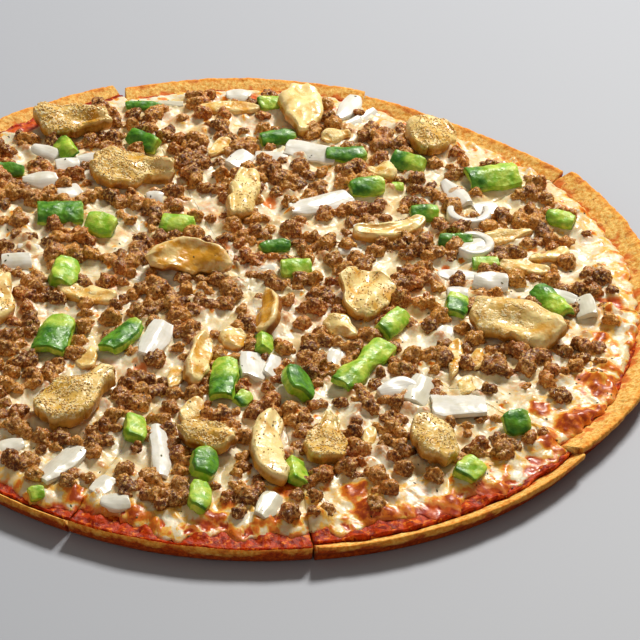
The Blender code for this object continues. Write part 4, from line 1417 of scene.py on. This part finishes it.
# %% Pepper finish
def pepper_finish():
    pepper = Finish("green pepper", Subsurface_Weight=0.15, Subsurface_Scale=0.003,
                    Subsurface_Radius=(0.4, 1.0, 0.2), Specular_IOR_Level=0.45)
    cloudy = pepper.noise(4, 3)
    skin = pepper.between(cloudy, 0.3, 0.7, (38, 106, 12), (102, 162, 34))
    flesh = pepper.between(cloudy, 0.3, 0.7, (126, 182, 24), (200, 220, 84))
    side = pepper.attribute("side")
    border = pepper.wander(pepper.attribute("along"), pepper.noise(6, 1), -0.1, 0.1)
    skinned = pepper.maths("MULTIPLY", pepper.attribute("tone"), 2.6)
    skinned = pepper.maths("SUBTRACT", skinned, 1.3)
    up = pepper.spread(pepper.maths("SUBTRACT", skinned, border), -0.35, 0.35)
    top = pepper.mix(pepper.spread(side, 0.12, 0.3), skin, flesh)
    below = pepper.mix(pepper.spread(side, 0.55, 0.95), flesh, skin)
    pepper.set("Base Color", pepper.mix(up, below, top))
    pepper.set("Roughness", pepper.spread(pepper.noise(2.5, 2), 0.35, 0.65, 0.28, 0.55))
    pepper.set("Normal", pepper.bump(pepper.noise(1.4, 3), 0.3))
    return pepper


# %% [markdown]
# ### Onion
#
# Onion is the whitest thing on the pizza: a crisp, wet petal with faint veins
# that run along it. The veins are a wave across the petal, read from the
# attribute that says how far across a point lies, so they follow its curl.

# %% Onion finish
def onion_finish():
    onion = Finish("white onion", Subsurface_Weight=0.2, Subsurface_Scale=0.003,
                   Subsurface_Radius=(0.8, 0.9, 1.0), Specular_IOR_Level=0.5, Roughness=0.26)
    across = onion.attribute("across")
    wander = onion.maths("ADD", across, onion.maths("MULTIPLY", onion.noise(7, 2), 2.2))
    vein = onion.maths("SINE", onion.maths("MULTIPLY", wander, 3.6), 0.0)
    white = onion.between(onion.attribute("tone"), 0.0, 1.0, (232, 230, 222), (206, 200, 170))
    white = onion.tint(white, (208, 202, 174), onion.noise(5, 3), 0.45, 0.7, 0.5)
    onion.set("Base Color", onion.tint(white, (204, 202, 182), vein, 0.2, 1.0, 0.1))
    onion.set("Normal", onion.bump(vein, 0.008))
    return onion


# %% Lay the larger toppings
FLESH_RIPPLES = (ripple("mushroom swell", "CLOUDS", 9.0, 1.2),
                 ripple("mushroom grain", "CLOUDS", 3.0, 0.4))
CRISP_RIPPLES = (ripple("pepper swell", "CLOUDS", 4.0, 1.2),)
ONION_RIPPLES = (ripple("onion swell", "CLOUDS", 6.0, 0.5),)
KINDS = {
    "mushroom": (MUSHROOMS, mushroom_finish(), (14, 8), FLESH_RIPPLES),
    "pepper": (PEPPERS, pepper_finish(), (12, 8), CRISP_RIPPLES),
    "onion": (ONIONS, onion_finish(), (12, 8), ONION_RIPPLES),
}


def lay_large(kind):
    rows, finish, (columns, across), ripples = KINDS[kind]
    for number, row in enumerate(rows, start=1):
        node = f"{kind}_{number:02d}"
        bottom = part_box(node)[0][2]
        bm = place_slab(soft_slab(kind, row, columns, across, number * 3.7), row, bottom)
        piece = finish_piece(f"{kind}_slice_{number:02d}", bm, finish, [node])
        soften_piece(piece, 2, ripples)


for kind in KINDS:
    lay_large(kind)

# %% Bake the smaller toppings into the cheese
Small = namedtuple("Small", "length thick lean curl dust shapes")
SMALL_LOOKS = {
    "mushroom": Small(1.0, 0.9, (-10, 16), -20, 0.4, (CAP_AND_STEM, ROUND, TAPER)),
    "pepper": Small(0.84, 1.35, (14, 40), -50, 0.0, (BLOCK, STRIP)),
    "onion": Small(0.94, 0.85, (4, 26), -45, 0.0, (PETAL, BLOCK, TAPER)),
}
SMALL_SEED = 21
SMALL_SUNK = 0.9
SMALL_BEND = (-22, 22)
CURL_SHARE = (0.6, 1.3)
SMALL_GRID = (10, 6)
BEND_STEP = 9


def full_row(piece, looks, draw):
    """A smaller piece's row, with a drawn lean, bend, curl and shape."""
    return Topping(piece.x, piece.y, piece.length * looks.length, piece.width,
                   piece.height * looks.thick, piece.turn, draw.uniform(*looks.lean),
                   draw.uniform(*SMALL_BEND), looks.curl * draw.uniform(*CURL_SHARE),
                   draw.choice(looks.shapes), piece.tone, looks.dust)


def lay_small(kind, rows):
    _, finish, _, ripples = KINDS[kind]
    draw = random.Random(SMALL_SEED + len(kind))
    joined = bmesh.new()
    holder = bpy.data.meshes.new("holder")
    least, across = SMALL_GRID
    for number, row in enumerate(rows):
        if isinstance(row, Piece):
            row = full_row(row, SMALL_LOOKS[kind], draw)
        bottom = CHEESE_TOP - (SMALL_SUNK - draw.uniform(0.0, SMALL_SUNK)) * MM
        columns = max(least, round(abs(row.bend) / BEND_STEP))
        bm = place_slab(soft_slab(kind, row, columns, across, number * 1.9 + 40), row, bottom)
        bm.to_mesh(holder)
        bm.free()
        joined.from_mesh(holder)
    bpy.data.meshes.remove(holder)
    piece = finish_piece(f"small_{kind}s", joined, finish)
    soften_piece(piece, 1, ripples)


lay_small("mushroom", SMALL_MUSHROOMS)
lay_small("pepper", SMALL_PEPPERS)
lay_small("onion", SMALL_ONIONS + ONION_RINGS)

# %% [markdown]
# ## Dry seasoning and herbs
#
# Grated hard cheese and dried herbs are shaken over the pizza last, so they lie
# on top of everything. Each spot is found by looking straight down with a ray:
# what it hits says whether a grain may stay there. The grains are tiny balls,
# thousands of them, so they are made in batches and joined. A herb fleck is such
# a ball squashed flat.

# %% Find the tops
RAY_FROM = 0.1
# How upright a surface's normal has to be to hold a grain, and on the craggy beef.
UPRIGHT, BEEF_UPRIGHT = 0.5, 0.4


def top_below(view, x, y):
    """What a ray from above meets at a spot in millimetres: its place, normal and piece."""
    start = Vector((x * MM, y * MM, RAY_FROM))
    hit, place, normal, _, thing, _ = bpy.context.scene.ray_cast(view, start, Vector((0, 0, -1)))
    return (place, normal, thing.name) if hit else (None, None, "")


def spot_in_round(draw, reach):
    out, bearing = reach * math.sqrt(draw.random()), draw.uniform(0, math.tau)
    return out * math.cos(bearing), out * math.sin(bearing)


# %% Shake the seasoning
GRAIN_SEED = 31
GRAIN_RADIUS = (0.22, 0.5)
GRAIN_BATCH = 300
GRAIN_STRETCH = (1.0, 0.8, 0.7)
# Grains tried for each square millimetre where the row's dust is 1.
GRAINS_TRIED = 2.2
BEEF_GRAINS = 1500
BEEF_GRAIN_RADIUS = (0.2, 0.36)
BEEF_GRAIN_REACH = 168


def grains(spots, stretch, draw):
    """Small balls at the spots, squashed by a stretch along the surface, joined in batches."""
    joined, holder = bmesh.new(), bpy.data.meshes.new("holder")
    for start in range(0, len(spots), GRAIN_BATCH):
        batch = bmesh.new()
        tone = batch.verts.layers.float.new("tone")
        for place, normal, radius in spots[start:start + GRAIN_BATCH]:
            flat = normal.to_track_quat("Z", "Y").to_matrix().to_4x4()
            size = Matrix.Diagonal((*(radius * MM * part for part in stretch), 1.0))
            middle = place + normal * radius * stretch[2] * 0.6 * MM
            matrix = Matrix.Translation(middle) @ flat @ random_turn(draw, "Z") @ size
            made = bmesh.ops.create_icosphere(batch, subdivisions=1, radius=1.0, matrix=matrix)
            shade = draw.random()
            for vert in made["verts"]:
                vert[tone] = shade
        batch.to_mesh(holder)
        batch.free()
        joined.from_mesh(holder)
    bpy.data.meshes.remove(holder)
    return joined


def seasoned_spots(draw, view):
    spots = []
    for row in MUSHROOMS:
        reach = 0.55 * row.length
        for _ in range(round(row.dust * row.length * row.width * GRAINS_TRIED)):
            x, y = row.x + draw.uniform(-reach, reach), row.y + draw.uniform(-reach, reach)
            place, normal, name = top_below(view, x, y)
            thick_on = noise.noise(Vector((x / 5, y / 5, 60.0))) > -0.12
            if name.startswith("mushroom_slice") and normal.z > UPRIGHT and thick_on:
                spots.append((place, normal, draw.uniform(*GRAIN_RADIUS)))
    for _ in range(BEEF_GRAINS):
        place, normal, name = top_below(view, *spot_in_round(draw, BEEF_GRAIN_REACH))
        if name.startswith("beef") and normal.z > BEEF_UPRIGHT:
            spots.append((place, normal, draw.uniform(*BEEF_GRAIN_RADIUS)))
    return spots


def shake_seasoning():
    draw = random.Random(GRAIN_SEED)
    spots = seasoned_spots(draw, bpy.context.evaluated_depsgraph_get())
    dry = Finish("dry seasoning", Roughness=0.5)
    dry.set("Base Color", dry.mix(dry.attribute("tone"), srgb(214, 168, 88), srgb(250, 230, 176)))
    finish_piece("seasoning", grains(spots, GRAIN_STRETCH, draw), dry)
    print(len(spots), "grains of seasoning")


shake_seasoning()

# %% Scatter the herbs
HERB_TRIES = 420
HERB_RADIUS = (0.35, 0.8)
HERB_STRETCH = (1.0, 0.5, 0.22)
HERB_REACH = 170
NO_HERBS = ("baked", "small_pepper", "pepper")


def scatter_herbs():
    draw = random.Random(GRAIN_SEED + 1)
    view = bpy.context.evaluated_depsgraph_get()
    spots = []
    for _ in range(HERB_TRIES):
        place, normal, name = top_below(view, *spot_in_round(draw, HERB_REACH))
        if name and normal.z > UPRIGHT and not name.startswith(NO_HERBS):
            spots.append((place, normal, draw.uniform(*HERB_RADIUS)))
    herb = Finish("dried herb", Roughness=0.6)
    herb.set("Base Color", herb.mix(herb.attribute("tone"), srgb(34, 30, 10), srgb(74, 82, 24)))
    finish_piece("herbs", grains(spots, HERB_STRETCH, draw), herb)
    print(len(spots), "herb flecks")


scatter_herbs()
